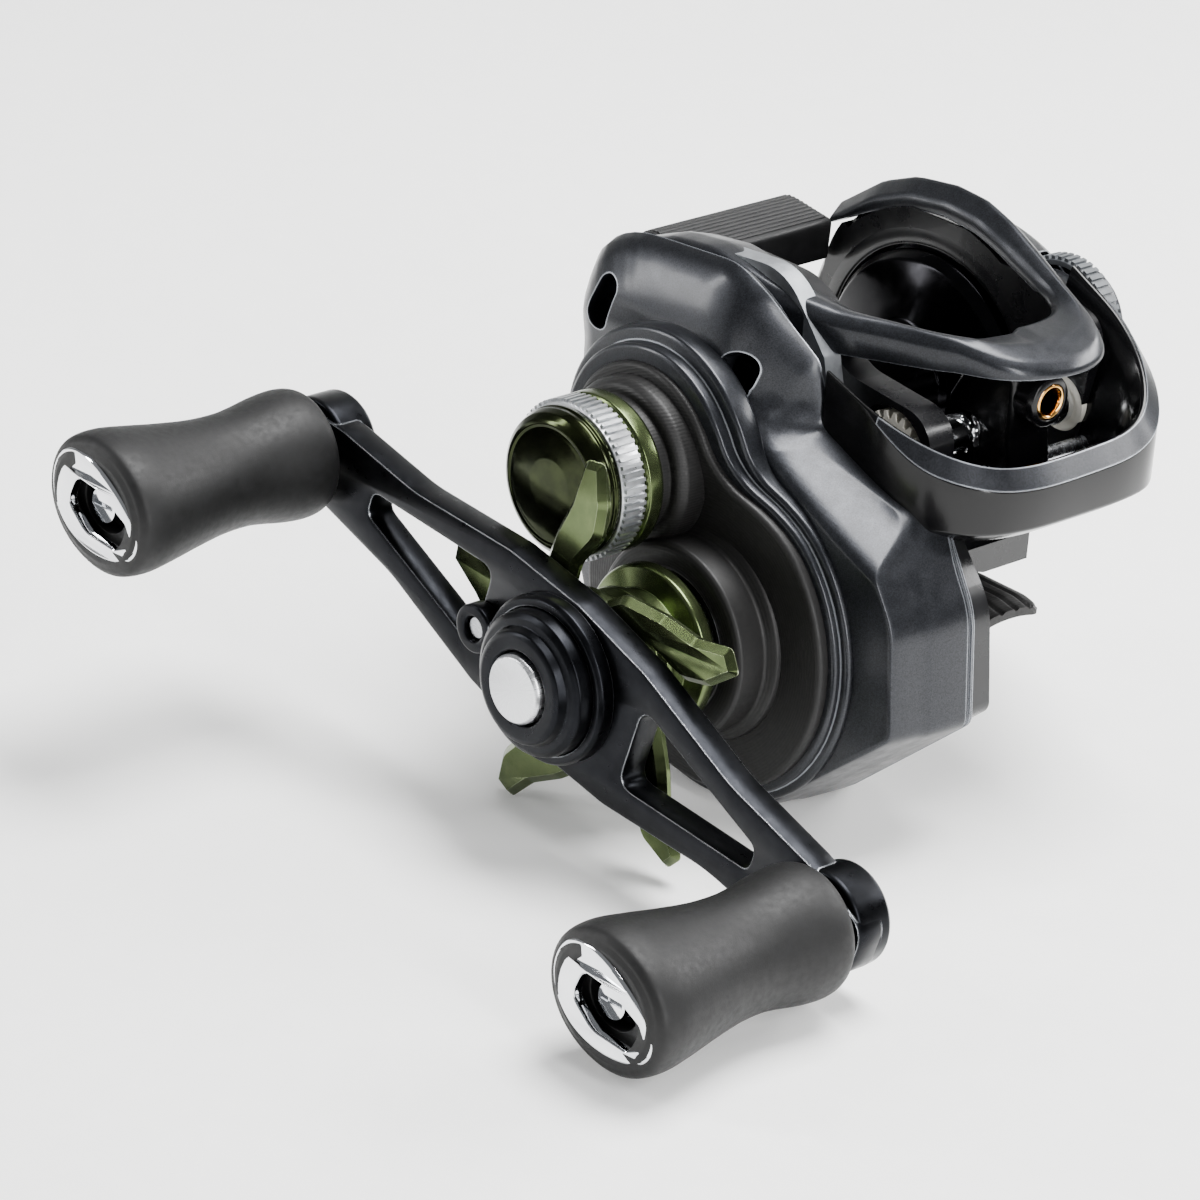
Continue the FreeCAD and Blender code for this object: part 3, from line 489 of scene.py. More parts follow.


# %% [markdown]
# One entry for each material slot of the frame, named for the real finish. Two more are not slots of the frame:
# the brushed cap, and the satin black of the inner rings, which the frame node also takes as painted shade.
# %% All the finishes
MAT = {
    "graphite_paint": graphite_paint(),
    "gloss_black": moulded("gloss_black_paint", ("#030304", "#060607"), (0.16, 0.26), 1.5, 0.001, 0.05, 0.25),
    "matt_black": turned_black(),
    "cast_aluminium": metal("cast_aluminium", ("#8d9094", "#a3a6aa"), (0.4, 0.55), 0.8, 0.01),
    "steel": metal("ground_steel", ("#a9abaf", "#c4c6ca"), (0.2, 0.32)),
    "black_steel": metal("blackened_steel", ("#15161a", "#202126"), (0.3, 0.45)),
    "bearing_steel": metal("bearing_steel", ("#b4b6ba", "#cfd1d4"), (0.14, 0.24)),
    "white_nylon": moulded("white_nylon", ("#cfccc0", "#dedbd1"), (0.4, 0.55)),
    "brass": metal("machined_brass", ("#b08b45", "#c9a55c"), (0.2, 0.34)),
    "carbon_washer": moulded("woven_carbon", ("#101112", "#26282a"), (0.35, 0.55), 0.4, 0.02),
    "ribbed_grey": moulded("ribbed_dark_grey", ("#0c0c0d", "#141415"), (0.4, 0.52), 0.25, 0.01, 0.0, 0.3),
    # the anodised finishes below carry a painted edge highlight in their edge colour
    "dark_anodised": anodised("dark_anodised", ("#101114", "#18191c"), (0.26, 0.38)),
    "bright_aluminium": metal("turned_aluminium", ("#b4b6b9", "#cfd1d3"), (0.27, 0.36)),
    "chrome": metal("polished_chrome", ("#d7d9dc", "#ecedef"), (0.04, 0.09), 2.0, 0.0005),
    "grip_rubber": moulded("matt_grip_rubber", ("#080808", "#0d0d0e"), (0.48, 0.6), 0.16, 0.015, 0.0, 0.28),
    "green_anodised": anodised("green_anodised", ("#4a5537", "#5a6543"), (0.18, 0.26), "#c3cda8", 0.1),
    "green_gloss": anodised("dark_olive_polished", ("#1d2113", "#2c321d"), (0.1, 0.18), "#7f8a5f", 0.2),
    "gold_ring": metal("gold_polished", ("#d79a45", "#efbf74"), (0.08, 0.14)),
    "spool_black": anodised("black_anodised_gloss", ("#0b0b0d", "#141416"), (0.12, 0.2), "#8b8e94", 0.2),
    "dial_grey": moulded("dial_grey", ("#4a4d50", "#5d6064"), (0.4, 0.52)),
    "brushed_cap": radial_brushed("radial_brushed_aluminium", SHAFT, ("#b9bbbe", "#e6e7e9")),
    "satin_black": moulded("satin_black_rings_and_frame_shade", ("#08080a", "#0f0f11"), (0.24, 0.34), 0.6, 0.004, 0.1, 0.35),
}
print("finishes", len(MAT))

# %% [markdown]
# ## Repeats
# Knurls and ribs are Geometry Nodes groups: teeth set round a circle, or ribs set along a line.
# Each is baked to a mesh, and the modifier is gone before the piece meets the frame.
# %% Open and close a group
def new_group(name, floats, counts):
    """Node group with named float and integer inputs and one geometry output."""
    group = bpy.data.node_groups.new(name, "GeometryNodeTree")
    group.interface.new_socket("Geometry", in_out="INPUT", socket_type="NodeSocketGeometry")
    for title in floats:
        group.interface.new_socket(title, in_out="INPUT", socket_type="NodeSocketFloat")
    for title in counts:
        group.interface.new_socket(title, in_out="INPUT", socket_type="NodeSocketInt")
    group.interface.new_socket("Material", in_out="INPUT", socket_type="NodeSocketMaterial")
    group.interface.new_socket("Geometry", in_out="OUTPUT", socket_type="NodeSocketGeometry")
    entry = add(group, "NodeGroupInput")
    result = add(group, "NodeGroupOutput")
    return group, entry.outputs, result.inputs["Geometry"]


def close_group(group, ways, instances, result):
    """Realizes the instances and gives them the group's material."""
    real = add(group, "GeometryNodeRealizeInstances", {"Geometry": instances})
    painted = add(group, "GeometryNodeSetMaterial", {"Geometry": real.outputs[0],
                                                     "Material": ways["Material"]})
    group.links.new(painted.outputs[0], result)
    return group


# %% [markdown]
# A straight knurl is one tooth repeated round a circle. The teeth are instanced on the circle's points
# and turned to face outward by their own position. A ribbed pad is one rod repeated along a line.
# %% Tooth ring and rib row
def tooth_ring_group():
    """Teeth of one size set evenly round a circle in the XY plane."""
    group, ways, result = new_group(
        "tooth_ring", ["Radius", "Tooth Width", "Tooth Depth", "Length"], ["Count"])
    size = add(group, "ShaderNodeCombineXYZ", {
        0: ways["Tooth Depth"], 1: ways["Tooth Width"], 2: ways["Length"]})
    tooth = add(group, "GeometryNodeMeshCube", {"Size": size.outputs[0]})
    ring = add(group, "GeometryNodeMeshCircle", {"Vertices": ways["Count"], "Radius": ways["Radius"]})
    outward = add(group, "GeometryNodeInputPosition").outputs[0]
    turn = add(group, "FunctionNodeAlignRotationToVector", {"Vector": outward}, axis="X", pivot_axis="Z")
    placed = add(group, "GeometryNodeInstanceOnPoints", {
        "Points": ring.outputs[0], "Instance": tooth.outputs[0], "Rotation": turn.outputs[0]})
    return close_group(group, ways, placed.outputs[0], result)


def rib_row_group():
    """Long round ribs side by side along X."""
    group, ways, result = new_group("rib_row", ["Pitch", "Rib Radius", "Length"], ["Count"])
    rod = add(group, "GeometryNodeMeshCylinder", {"Radius": ways["Rib Radius"], "Depth": ways["Length"]},
              {"Vertices": 12})
    step = add(group, "ShaderNodeCombineXYZ", {0: ways["Pitch"]})
    line = add(group, "GeometryNodeMeshLine", {"Count": ways["Count"], "Offset": step.outputs[0]})
    laid = add(group, "GeometryNodeInstanceOnPoints", {"Points": line.outputs[0], "Instance": rod.outputs[0]})
    return close_group(group, ways, laid.outputs[0], result)


# %% Bake a group to a mesh
def bake(group, **inputs):
    """Mesh of a node group with its inputs set by name."""
    holder = bpy.data.objects.new("holder", bpy.data.meshes.new("holder"))
    bpy.context.scene.collection.objects.link(holder)
    modifier = holder.modifiers.new("repeat", "NODES")
    modifier.node_group = group
    sockets = {s.name: s.identifier for s in group.interface.items_tree if s.in_out == "INPUT"}
    for title, value in inputs.items():
        modifier[sockets[title.replace("_", " ")]] = value
    holder.update_tag()
    mesh = bpy.data.meshes.new_from_object(holder.evaluated_get(bpy.context.evaluated_depsgraph_get()))
    bpy.data.objects.remove(holder)
    return mesh


TOOTH_RING = tooth_ring_group()
RIB_ROW = rib_row_group()
print("groups", TOOTH_RING.name, RIB_ROW.name)


def knurl(centre, radius, y0, y1, count, width, depth, material):
    """Straight knurl: a ring of teeth about a Y axis between two depths."""
    mesh = bake(TOOTH_RING, Radius=radius * MM, Tooth_Width=width * MM, Tooth_Depth=depth * MM,
                Length=abs(y1 - y0) * MM, Count=count, Material=material)
    mesh.transform(Matrix.Translation((centre[0] * MM, (y0 + y1) / 2 * MM, (centre[1] + LIFT) * MM))
                   @ Matrix.Rotation(math.pi / 2, 4, "X"))
    return mesh


# %% [markdown]
# ## Gear side cover
# The real cover is a deep cast shell with a round lobe over the drive gear. A bevelled plate would
# give it flat walls, so it is skinned ring by ring instead. Each ring runs round the cover's outline:
# the first ones make the thin rim and its shadow groove, the next climb the wall to a soft crease, and
# the last cross the face. Where the hood's near arm meets the cover, the rim tucks in under it.
# %% Outline of the cover
COVER = [(-19.3, 20.0, 12), (-18.9, -9.0, 10), (-11.5, -25.0, 14), (3.0, -37.0, 13), (18.0, -36.6, 10),
         (35.9, -20.9, 1.8), (34.6, -8.5, 9), (28.6, 1.2, 5), (15.6, 6.6, 1.2), (13.6, 13.6, 2.5),
         (6.0, 22.3, 9)]
COVER_MIDDLE = (4.0, -9.0)
RIM_Y = -span("gear_side_cover")[1].y              # depth of the rim, outward positive
FACE_Y = 27.0                                      # depth of the flat face
LOBE_R = 25.0                                      # crease of the gear lobe about the main shaft
RAYS = 420


def ray_hits(outline, middle, rays):
    """Distance from the middle to an outline along evenly turned rays."""
    hits = [0.0] * rays
    count = len(outline)
    for i in range(count):
        a = Vector(outline[i]) - Vector(middle)
        b = Vector(outline[(i + 1) % count]) - Vector(middle)
        start = math.atan2(a.y, a.x)
        sweep = math.atan2(a.x * b.y - a.y * b.x, a.dot(b))
        first, last = sorted((start, start + sweep))
        for k in range(math.ceil(first * rays / (2 * math.pi)), math.floor(last * rays / (2 * math.pi)) + 1):
            angle = 2 * math.pi * k / rays
            ux, uz = math.cos(angle), math.sin(angle)
            side = b - a
            below = ux * side.y - uz * side.x
            if abs(below) > 1e-9:
                hits[k % rays] = max(hits[k % rays], (a.x * side.y - a.y * side.x) / below)
    return hits


# %% [markdown]
# The face is flat over the gears and falls away at the upper front, at the rear and a little toward the
# edge of the lobe. The crease stands in from the outline by a different amount on every side, and is
# smoothed along the ring so that it reads as one line.
# %% Depth of the face and place of the crease
def face_depth(x, z):
    """Depth of the cover's face: flat, then falling away at the upper front and at the rear."""
    fall_front = 6.6 * smooth_step(5.5, 17.5, x) * smooth_step(7.2, 11.0, z + 0.49 * (x - 7.4))
    fall_rear = 2.2 * smooth_step(-14.0, -19.5, x)
    from_shaft = math.hypot(x - SHAFT[0], z - SHAFT[1])
    cone = 0.9 * smooth_step(18.0, 26.0, from_shaft) * smooth_step(12.0, 6.0, z)
    return FACE_Y - fall_front - fall_rear - cone


CREASE_PASSES = 14                                 # smoothing passes along the crease


def crease_inset():
    """How far the crease stands in from the outline, ray by ray."""
    edge = ray_hits(rounded(COVER, 10), COVER_MIDDLE, RAYS)
    lobe = ray_hits(circle(LOBE_R, SHAFT, 240), COVER_MIDDLE, RAYS)
    insets = []
    for k in range(RAYS):
        angle = 2 * math.pi * k / RAYS
        top = 8.3 * smooth_step(0.70 if math.cos(angle) > 0 else 0.45, 1.0, math.sin(angle))
        front = max(1.2, edge[k] - lobe[k])
        insets.append(max(top, min(front, 3.2 if math.sin(angle) > -0.2 else 5.0)))
    for _ in range(CREASE_PASSES):
        insets = [(insets[k - 1] + 2 * insets[k] + insets[(k + 1) % RAYS]) / 4 for k in range(RAYS)]
    return edge, insets


# Rings of the wall: share of the crease inset (plain side, tucked side), tuck in mm, height from 0 to 1.
CLIMB = [(0.0, 0.0, 5.5, 0.0), (0.0, 0.0, 5.5, 0.03), (0.22, 0.0, 5.5, 0.04), (0.22, 0.0, 5.5, 0.075),
         (0.0, 0.0, 5.5, 0.085), (0.02, 0.0, 5.5, 0.12), (0.25, 0.0, 4.5, 0.53), (0.3, 0.0, 1.3, 0.55),
         (0.5, 0.0, 0.2, 0.68), (0.6, 0.12, 0.0, 0.80), (0.72, 0.35, 0.0, 0.88), (0.84, 0.66, 0.0, 0.95),
         (0.93, 0.9, 0.0, 0.985), (0.99, 0.985, 0.0, 0.996), (1.06, 1.06, 0.0, 1.0)]


FACE_RINGS = 64


def cover_shell():
    """Skinned shell from the rim to the middle of the face."""
    edge, insets = crease_inset()
    rings = []
    for plain, bold, tuck, height in CLIMB:
        ring = []
        for k in range(RAYS):
            angle = 2 * math.pi * k / RAYS
            upper = smooth_step(0.66, 0.95, angle) * smooth_step(3.1, 2.3, angle)
            share = plain + (bold - plain) * upper
            inset = (share * insets[k] if height > 0.1 else plain) + tuck * upper
            reach = edge[k] - inset
            x, z = COVER_MIDDLE[0] + reach * math.cos(angle), COVER_MIDDLE[1] + reach * math.sin(angle)
            ring.append((x, -(RIM_Y + (face_depth(x, z) - RIM_Y) * height), z))
        rings.append(ring)
    for s in range(1, FACE_RINGS):
        ring = []
        for k in range(RAYS):
            angle = 2 * math.pi * k / RAYS
            reach = (edge[k] - 1.06 * insets[k]) * (1 - s / FACE_RINGS)
            x, z = COVER_MIDDLE[0] + reach * math.cos(angle), COVER_MIDDLE[1] + reach * math.sin(angle)
            ring.append((x, -face_depth(x, z), z))
        rings.append(ring)
    return skin(rings)


# %% [markdown]
# Stepped bands and the black housing sit on the cover's face. Their outlines are pears: one circle
# about the spool axis, a bigger one about the main shaft, and concave fillets between them.
# %% Pear outlines
def pear(spool_r, shaft_r, fillet):
    """Outline round two circles, one about each axis, joined by concave fillets."""
    a, b = Vector(SPOOL), Vector(SHAFT)
    apart = (b - a).length
    along = (b - a) / apart
    across = Vector((-along.y, along.x))
    ra, rb = spool_r + fillet, shaft_r + fillet
    u = (ra * ra - rb * rb + apart * apart) / (2 * apart)
    v = math.sqrt(max(0.01, ra * ra - u * u))
    outline = []
    for side, centre in ((1, a + along * u + across * v), (-1, a + along * u - across * v)):
        start, end = (b - centre).normalized(), (a - centre).normalized()
        if side < 0:
            start, end = end, start
        sweep = math.atan2(start.x * end.y - start.y * end.x, start.dot(end))
        first = math.atan2(start.y, start.x)
        arc = [centre + Vector((math.cos(first + sweep * k / 16), math.sin(first + sweep * k / 16))) * fillet
               for k in range(17)]
        outline.append(arc)
    left, right = outline
    around_a = around(a, left[-1], right[0], spool_r, b)
    around_b = around(b, right[-1], left[0], shaft_r, a)
    return [(p.x, p.y) for p in left + around_a + right + around_b]


def around(centre, start, end, radius, away_from, steps=48):
    """Arc from start to end about a centre, on the side away from another point."""
    first = math.atan2(start.y - centre.y, start.x - centre.x)
    last = math.atan2(end.y - centre.y, end.x - centre.x)
    far = math.atan2(centre.y - away_from.y, centre.x - away_from.x)
    sweep = (last - first) % (2 * math.pi)
    if (far - first) % (2 * math.pi) > sweep:
        sweep -= 2 * math.pi
    turns = [first + sweep * k / steps for k in range(1, steps)]
    return [centre + Vector((math.cos(turn), math.sin(turn))) * radius for turn in turns]


def leaned(mesh, level, spool_y, shaft_y):
    """Moves everything beyond a level so the top runs from one depth at the spool to another at the shaft."""
    apart = math.hypot(*SHAFT)
    for vertex in mesh.vertices:
        y = vertex.co.y / MM
        if -y > level:
            x, z = vertex.co.x / MM, vertex.co.z / MM - LIFT
            share = smooth_step(-2.0, apart * 0.8, (x * SHAFT[0] + z * SHAFT[1]) / apart)
            vertex.co.y += (spool_y + (shaft_y - spool_y) * share) * MM
    return mesh


# %% [markdown]
# The cover is held by two screws in deep slots. Each slot is cut by its own boolean, because cutters
# that overlap would undo each other.
# %% Screw pockets
def pocket(x, z, length, lean, radius):
    """Cutter for a slot-shaped screw pocket."""
    along = Vector((math.cos(lean), math.sin(lean))) * length
    outline = []
    for end, start in ((along, lean - math.pi / 2), (-along, lean + math.pi / 2)):
        for k in range(17):
            a = start + math.pi * k / 16
            outline.append((x + end.x + radius * math.cos(a), z + end.y + radius * math.sin(a)))
    return skin([[(u, y, v) for u, v in outline] for y in (-32.0, -22.6)])


def screw_places():
    """Centres of the two cover screws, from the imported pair."""
    low, high = span("cover_screws")
    return (low.x + 1.8, high.z - 1.8), (high.x - 1.8, low.z + 1.8)


# %% [markdown]
# The cover, its two stepped bands and the black housing stay separate pieces of the same body, because
# paint changes from one to the next. The bands lean a little outward, as the cast steps do.
# %% Build the cover
# Round room behind the housing, where the clutch slides the pinion outward.
PINION_ROOM = [(0.0, -12.0), (5.2, -12.0), (5.2, -31.5), (0.0, -31.5)]


def build_cover():
    (rear_x, rear_z), (front_x, front_z) = screw_places()
    shell = cover_shell()
    cutters = [pocket(rear_x, rear_z, 1.9, 1.25, 1.5), pocket(front_x + 0.2, front_z + 0.9, 0.5, 1.3, 1.9),
               pocket(front_x - 0.4, front_z - 1.1, 0.6, 0.4, 1.45), lathe(PINION_ROOM, SPOOL, 48)]
    for cutter in cutters:
        shell = carved(shell, [cutter])
    finished("gear_cover_shell", shell, "graphite_paint", "frame", ["gear_side_cover"], 38)
    bands = [leaned(plate([pear(14.1, 19.6, 7.0)], -26.4, -28.6, 0.55, 3), 27.2, -0.9, 0.9),
             leaned(plate([pear(12.5, 18.6, 8.5)], -27.0, -30.0, 0.5, 3), 28.4, -1.1, 1.3)]
    bands = [carved(band, [lathe(PINION_ROOM, SPOOL, 48)]) for band in bands]
    finished("gear_cover_bands", merged(bands), "graphite_paint", "frame")


def build_housing():
    """Black gear housing with its neck, the collar and the boss of the tension knob."""
    neck = leaned(plate([pear(10.7, 17.7, 9.5)], -27.5, -30.0, 0.6, 3), 28.4, -1.9, 0.0)
    collar = [(7.0, -29.0), (12.4, -29.0), (12.0, -30.6), (10.9, -31.2), (10.9, -34.6), (10.3, -35.0),
              (8.0, -35.0), (7.6, -34.0), (7.0, -34.0)]
    boss = [(5.0, -30.0), (9.4, -30.0), (9.4, -33.4), (8.9, -34.2), (8.4, -34.4), (7.7, -34.4), (7.7, -35.6),
            (5.0, -35.6)]
    parts = [neck, lathe(soft(collar, 0.35, closed=True), SHAFT, closed=True),
             lathe(soft(boss, 0.3, closed=True), SPOOL, closed=True)]
    finished("gear_housing_shell", merged(parts), "matt_black", "frame", ["gear_housing"])


build_cover()
build_housing()

# %% [markdown]
# ## Hood over the spool
# The hood is one bar bent into a U. Its section has seven corners, and each corner follows the outer or
# the inner rail at its own height. The rails run up the near arm, across the front bar and back along
# the far arm. The near arm lies low against the gear cover, and the far arm arches over the spool.
# %% Heights of the hood
HOOD_TOP = [(-17.0, 14.6), (-11.0, 19.0), (-6.0, 21.1), (0.0, 22.0), (5.0, 21.9), (10.0, 20.9),
            (16.0, 19.2), (24.0, 16.9), (30.6, 15.0)]
HOOD_BELOW = [(-17.0, 12.2), (-11.0, 15.4), (-6.0, 17.6), (0.0, 18.6), (5.0, 18.4), (10.0, 17.6),
              (16.0, 16.2), (24.0, 14.7), (30.6, 13.1)]
NEAR_TOP = [(-17.0, 16.5), (-11.0, 19.0), (-5.0, 19.8), (0.0, 19.1), (5.0, 18.0), (11.0, 17.0),
            (18.0, 16.9), (24.0, 16.8), (30.6, 15.0)]
NEAR_BELOW = [(-17.0, 11.0), (-5.0, 14.8), (0.0, 14.4), (5.0, 13.4), (12.0, 12.5), (18.0, 12.7),
              (24.0, 13.2), (30.6, 13.1)]


def height_on(line, x):
    """Height of a line of (x, z) points at x."""
    for (x0, z0), (x1, z1) in zip(line, line[1:]):
        if x <= x1:
            return z0 + (z1 - z0) * max(0.0, (x - x0) / (x1 - x0))
    return line[-1][1]


# %% Bend the hood
HOOD_OUTER = [(-17.0, -19.6), (-9.0, -19.6), (-1.0, -19.5), (5.0, -18.6), (11.0, -16.2), (17.0, -13.0),
              (23.0, -10.2), (28.4, -6.2), (30.7, 0.0), (30.0, 5.6), (27.0, 8.6), (21.0, 10.6), (14.0, 12.7),
              (7.0, 14.2), (0.0, 14.8), (-9.0, 14.9), (-17.0, 14.9)]
HOOD_INNER = [(-17.0, -11.6), (-9.0, -11.6), (-1.0, -11.6), (5.0, -11.5), (9.5, -11.2), (14.0, -10.2),
              (18.5, -8.4), (21.4, -5.4), (22.4, 0.0), (22.0, 5.4), (20.0, 8.0), (16.0, 9.0), (11.0, 10.0),
              (6.0, 11.0), (0.0, 11.5), (-9.0, 11.6), (-17.0, 11.6)]
HOOD_SECTIONS = 113


def build_hood():
    outer_rail = spline_rail([(x, y, 0) for x, y in HOOD_OUTER], HOOD_SECTIONS)
    inner_rail = spline_rail([(x, y, 0) for x, y in HOOD_INNER], HOOD_SECTIONS)
    sections = []
    for a, b in zip(outer_rail, inner_rail):
        lean = (b - a).normalized()
        crown = a * 0.55 + b * 0.45
        top, below = (NEAR_TOP, NEAR_BELOW) if a.y < -0.01 else (HOOD_TOP, HOOD_BELOW)
        corners = [(a.x, a.y, height_on(below, a.x) + 0.1),
                   (a.x, a.y, height_on(top, a.x) - 1.1),
                   (a.x + lean.x * 1.1, a.y + lean.y * 1.1, height_on(top, a.x)),
                   (crown.x, crown.y, height_on(top, crown.x) + 0.05),
                   (b.x - lean.x * 0.7, b.y - lean.y * 0.7, height_on(top, b.x) - 1.0),
                   (b.x, b.y, height_on(top, b.x) - 1.7),
                   (b.x, b.y, height_on(below, b.x) + 0.2)]
        sections.append(bar_section(corners, 0.4, 2))
    finished("hood_bar", skin(sections), "graphite_paint", "frame", ["top_hood"], 40)


build_hood()
print("hood sections", HOOD_SECTIONS)

# %% [markdown]
# ## Nose cover
# The nose is a bowed wall in front of the line guide. It is skinned along a rail that also carries the
# height of its top edge. The edge rolls outward at the front, and a satin band lies on the rolled part.
# %% Rail of the nose
NOSE_PLAN = [(14.8, -20.0), (22.0, -19.2), (28.0, -16.9), (32.0, -13.2), (33.6, -8.0), (33.8, 0.0),
             (33.5, 7.0), (32.3, 11.0), (29.0, 13.8), (24.3, 14.8), (17.0, 14.9)]
NOSE_TOP = [12.8, 10.0, 7.9, 6.6, 6.0, 6.0, 6.4, 8.0, 11.0, 14.6, 18.2]
NOSE_LOW = -2.2                                    # bottom edge at the front
NOSE_ROLL = 1.5                                    # how far the top edge rolls outward


def nose_sections(here, run):
    """Corners of the wall and of the band at one place of the rail."""
    inward = Vector((-run.y, run.x, 0))
    low = NOSE_LOW + 3.6 * smooth_step(24.0, 15.0, here.x) * (1 if here.y < 0 else 0.6)
    top = here.z
    roll = NOSE_ROLL * smooth_step(19.0, 29.0, here.x)
    thick = smooth_step(17.5, 24.5, here.x) if here.y > 0 else 1.0
    foot = here + inward * (2.2 * thick * smooth_step(2.0, -2.2, low)) - inward * roll
    back = foot + inward * (1.3 + 0.9 * thick)
    side = here - inward * roll
    wall = [(foot.x, foot.y, low), (side.x, side.y, low + 1.6), (side.x, side.y, top - 0.4 - 1.1 * roll),
            (here.x, here.y, top), (here.x + inward.x * 0.6, here.y + inward.y * 0.6, top - 0.1),
            (here.x + inward.x * 1.5, here.y + inward.y * 1.5, top - 2.8), (back.x, back.y, low + 0.3)]
    edge = [(side, top - 0.35 - 1.1 * roll, 0.06), (here, top + 0.03, 0.03), (here, top - 0.3, -0.25),
            (side, top - 0.75 - 1.1 * roll, -0.25)]
    band = [(p.x - inward.x * d, p.y - inward.y * d, z) for p, z, d in edge] if roll > 0.3 else None
    return bar_section(wall, 0.3, 2), band


# %% Build the nose
def build_nose():
    rail = spline_rail([(x, y, z) for (x, y), z in zip(NOSE_PLAN, NOSE_TOP)], 121)
    wall, band = [], []
    for i, here in enumerate(rail):
        ahead, back = rail[min(i + 1, len(rail) - 1)], rail[max(i - 1, 0)]
        run = Vector((ahead.x - back.x, ahead.y - back.y, 0)).normalized()
        section, strip = nose_sections(here, run)
        wall.append(section)
        if strip:
            band.append(strip)
    finished("nose_wall", skin(wall), "gloss_black", "frame", ["nose_cover"], 40)
    finished("nose_band", skin(band), "graphite_paint", "frame")
    floor = [(27.0, -14.0, 1), (32.4, -9.0, 4), (32.6, 8.0, 4), (27.0, 13.0, 1)]
    slab = skin([[(x, y, z) for x, y in rounded(floor)] for z in (-2.1, -0.8)])
    finished("nose_floor", slab, "gloss_black", "frame")
    print("nose sections", len(wall), "of which banded", len(band))


build_nose()

# %% [markdown]
# ## Spool, palm ring and palm cover
# These are all turned about the spool axis. The spool's drilled holes are cut in a loop.
# %% Turned pieces on the spool axis
def build_spool():
    high = span("spool")[1]
    half, lip, arbor = high.y, high.x, 6.4
    profile = [(1.6, -6.0), (1.6, 6.0), (arbor - 1.2, 8.2), (lip - 2.3, 9.8), (lip - 1.0, half - 0.1),
               (lip - 0.1, half - 0.1), (lip - 0.1, half - 1.0), (lip - 1.0, half - 2.2),
               (arbor + 2.4, 8.4), (arbor + 0.7, 7.9), (arbor, 7.0), (arbor, -7.0), (arbor + 0.7, -7.9),
               (arbor + 2.4, -8.4), (lip - 1.0, -half + 2.2), (lip - 0.1, -half + 1.0),
               (lip - 0.1, -half + 0.1), (lip - 1.0, -half + 0.1), (lip - 2.3, -9.8), (arbor - 1.2, -8.2)]
    body = lathe(soft(profile, 0.3, closed=True), closed=True, count=160)
    holes = []
    for i in range(12):
        hole = lathe([(0.0, 3.4), (0.8, 3.4), (0.8, 9.0), (0.0, 9.0)], SPOOL, 20)
        hole.transform(Matrix.Translation((0, 0, -LIFT * MM)))
        turn = Matrix.Rotation((i + 0.5) * math.pi / 6, 4, "Y") @ Matrix.Rotation(math.pi / 2, 4, "X")
        hole.transform(Matrix.Translation((0, (-4.5, -1.5, 1.5, 4.5)[i % 4] * MM, LIFT * MM)) @ turn)
        holes.append(hole)
    finished("spool_drum", carved(body, holes), "spool_black", "spool", ["spool"])


def build_palm_ring():
    """Stepped lip ring round the mouth of the palm side plate."""
    profile = [(14.95, 11.3), (14.95, 14.8), (19.4, 14.8), (19.8, 12.9), (18.6, 11.6), (17.6, 11.8),
               (17.2, 11.5), (16.2, 11.3), (15.6, 11.25)]
    ring = lathe(soft(profile, 0.25, closed=True), closed=True, count=160)
    finished("side_plate_lips", ring, "satin_black", "frame")


def build_palm_cover():
    """Dome with a slot for the dial's edge, a lobe over the dial and a plug ring that sits in the frame."""
    dome = [(0.0, 15.1), (18.3, 15.1), (18.4, 16.0), (18.0, 17.8), (16.9, 21.0), (15.6, 22.9), (14.2, 24.2),
            (12.4, 25.4), (10.0, 26.4), (7.6, 26.9), (5.0, 27.15), (0.0, 27.2)]
    plug = [(13.5, 13.3), (14.55, 13.3), (14.55, 15.4), (13.5, 15.4)]
    slot = [(0.0, 18.6), (DIAL_R + 0.4, 18.6), (DIAL_R + 0.4, 21.4), (0.0, 21.4)]
    lobe = [(0.0, 21.5), (6.3, 21.5), (6.2, 22.6), (5.2, 23.5), (3.6, 23.8), (0.0, 23.8)]
    lobe_foot = [(0.0, 15.2), (6.3, 15.2), (6.3, 18.5), (0.0, 18.5)]
    parts = [carved(lathe(soft(dome, 0.5), SPOOL, 160), [lathe(slot, DIAL, 96)]),
             lathe(soft(lobe, 0.3), DIAL, 96), lathe(soft(lobe_foot, 0.3), DIAL, 96),
             lathe(soft(plug, 0.2, closed=True), closed=True)]
    finished("palm_shell", merged(parts), "graphite_paint", "palm_cover", ["palm_cover"])


DIAL_R = (span("brake_dial")[1].x - span("brake_dial")[0].x) / 2


def build_dial():
    """Thin wheel with a toothed edge."""
    low, high = span("brake_dial")
    rim = DIAL_R - 0.3
    wheel = [(6.5, low.y + 0.1), (rim - 0.2, low.y + 0.1), (rim, low.y + 0.4), (rim, high.y - 0.4),
             (rim - 0.2, high.y - 0.1), (6.5, high.y - 0.1)]
    body = lathe(soft(wheel, 0.1, closed=True), DIAL, closed=True)
    teeth = knurl(DIAL, DIAL_R - 0.35, low.y + 0.2, high.y - 0.2, 48, 0.55, 0.6, MAT["dial_grey"])
    finished("brake_dial_wheel", merged([body, teeth]), "dial_grey", "brake_dial", ["brake_dial"])


build_spool()
build_palm_ring()
build_palm_cover()
build_dial()

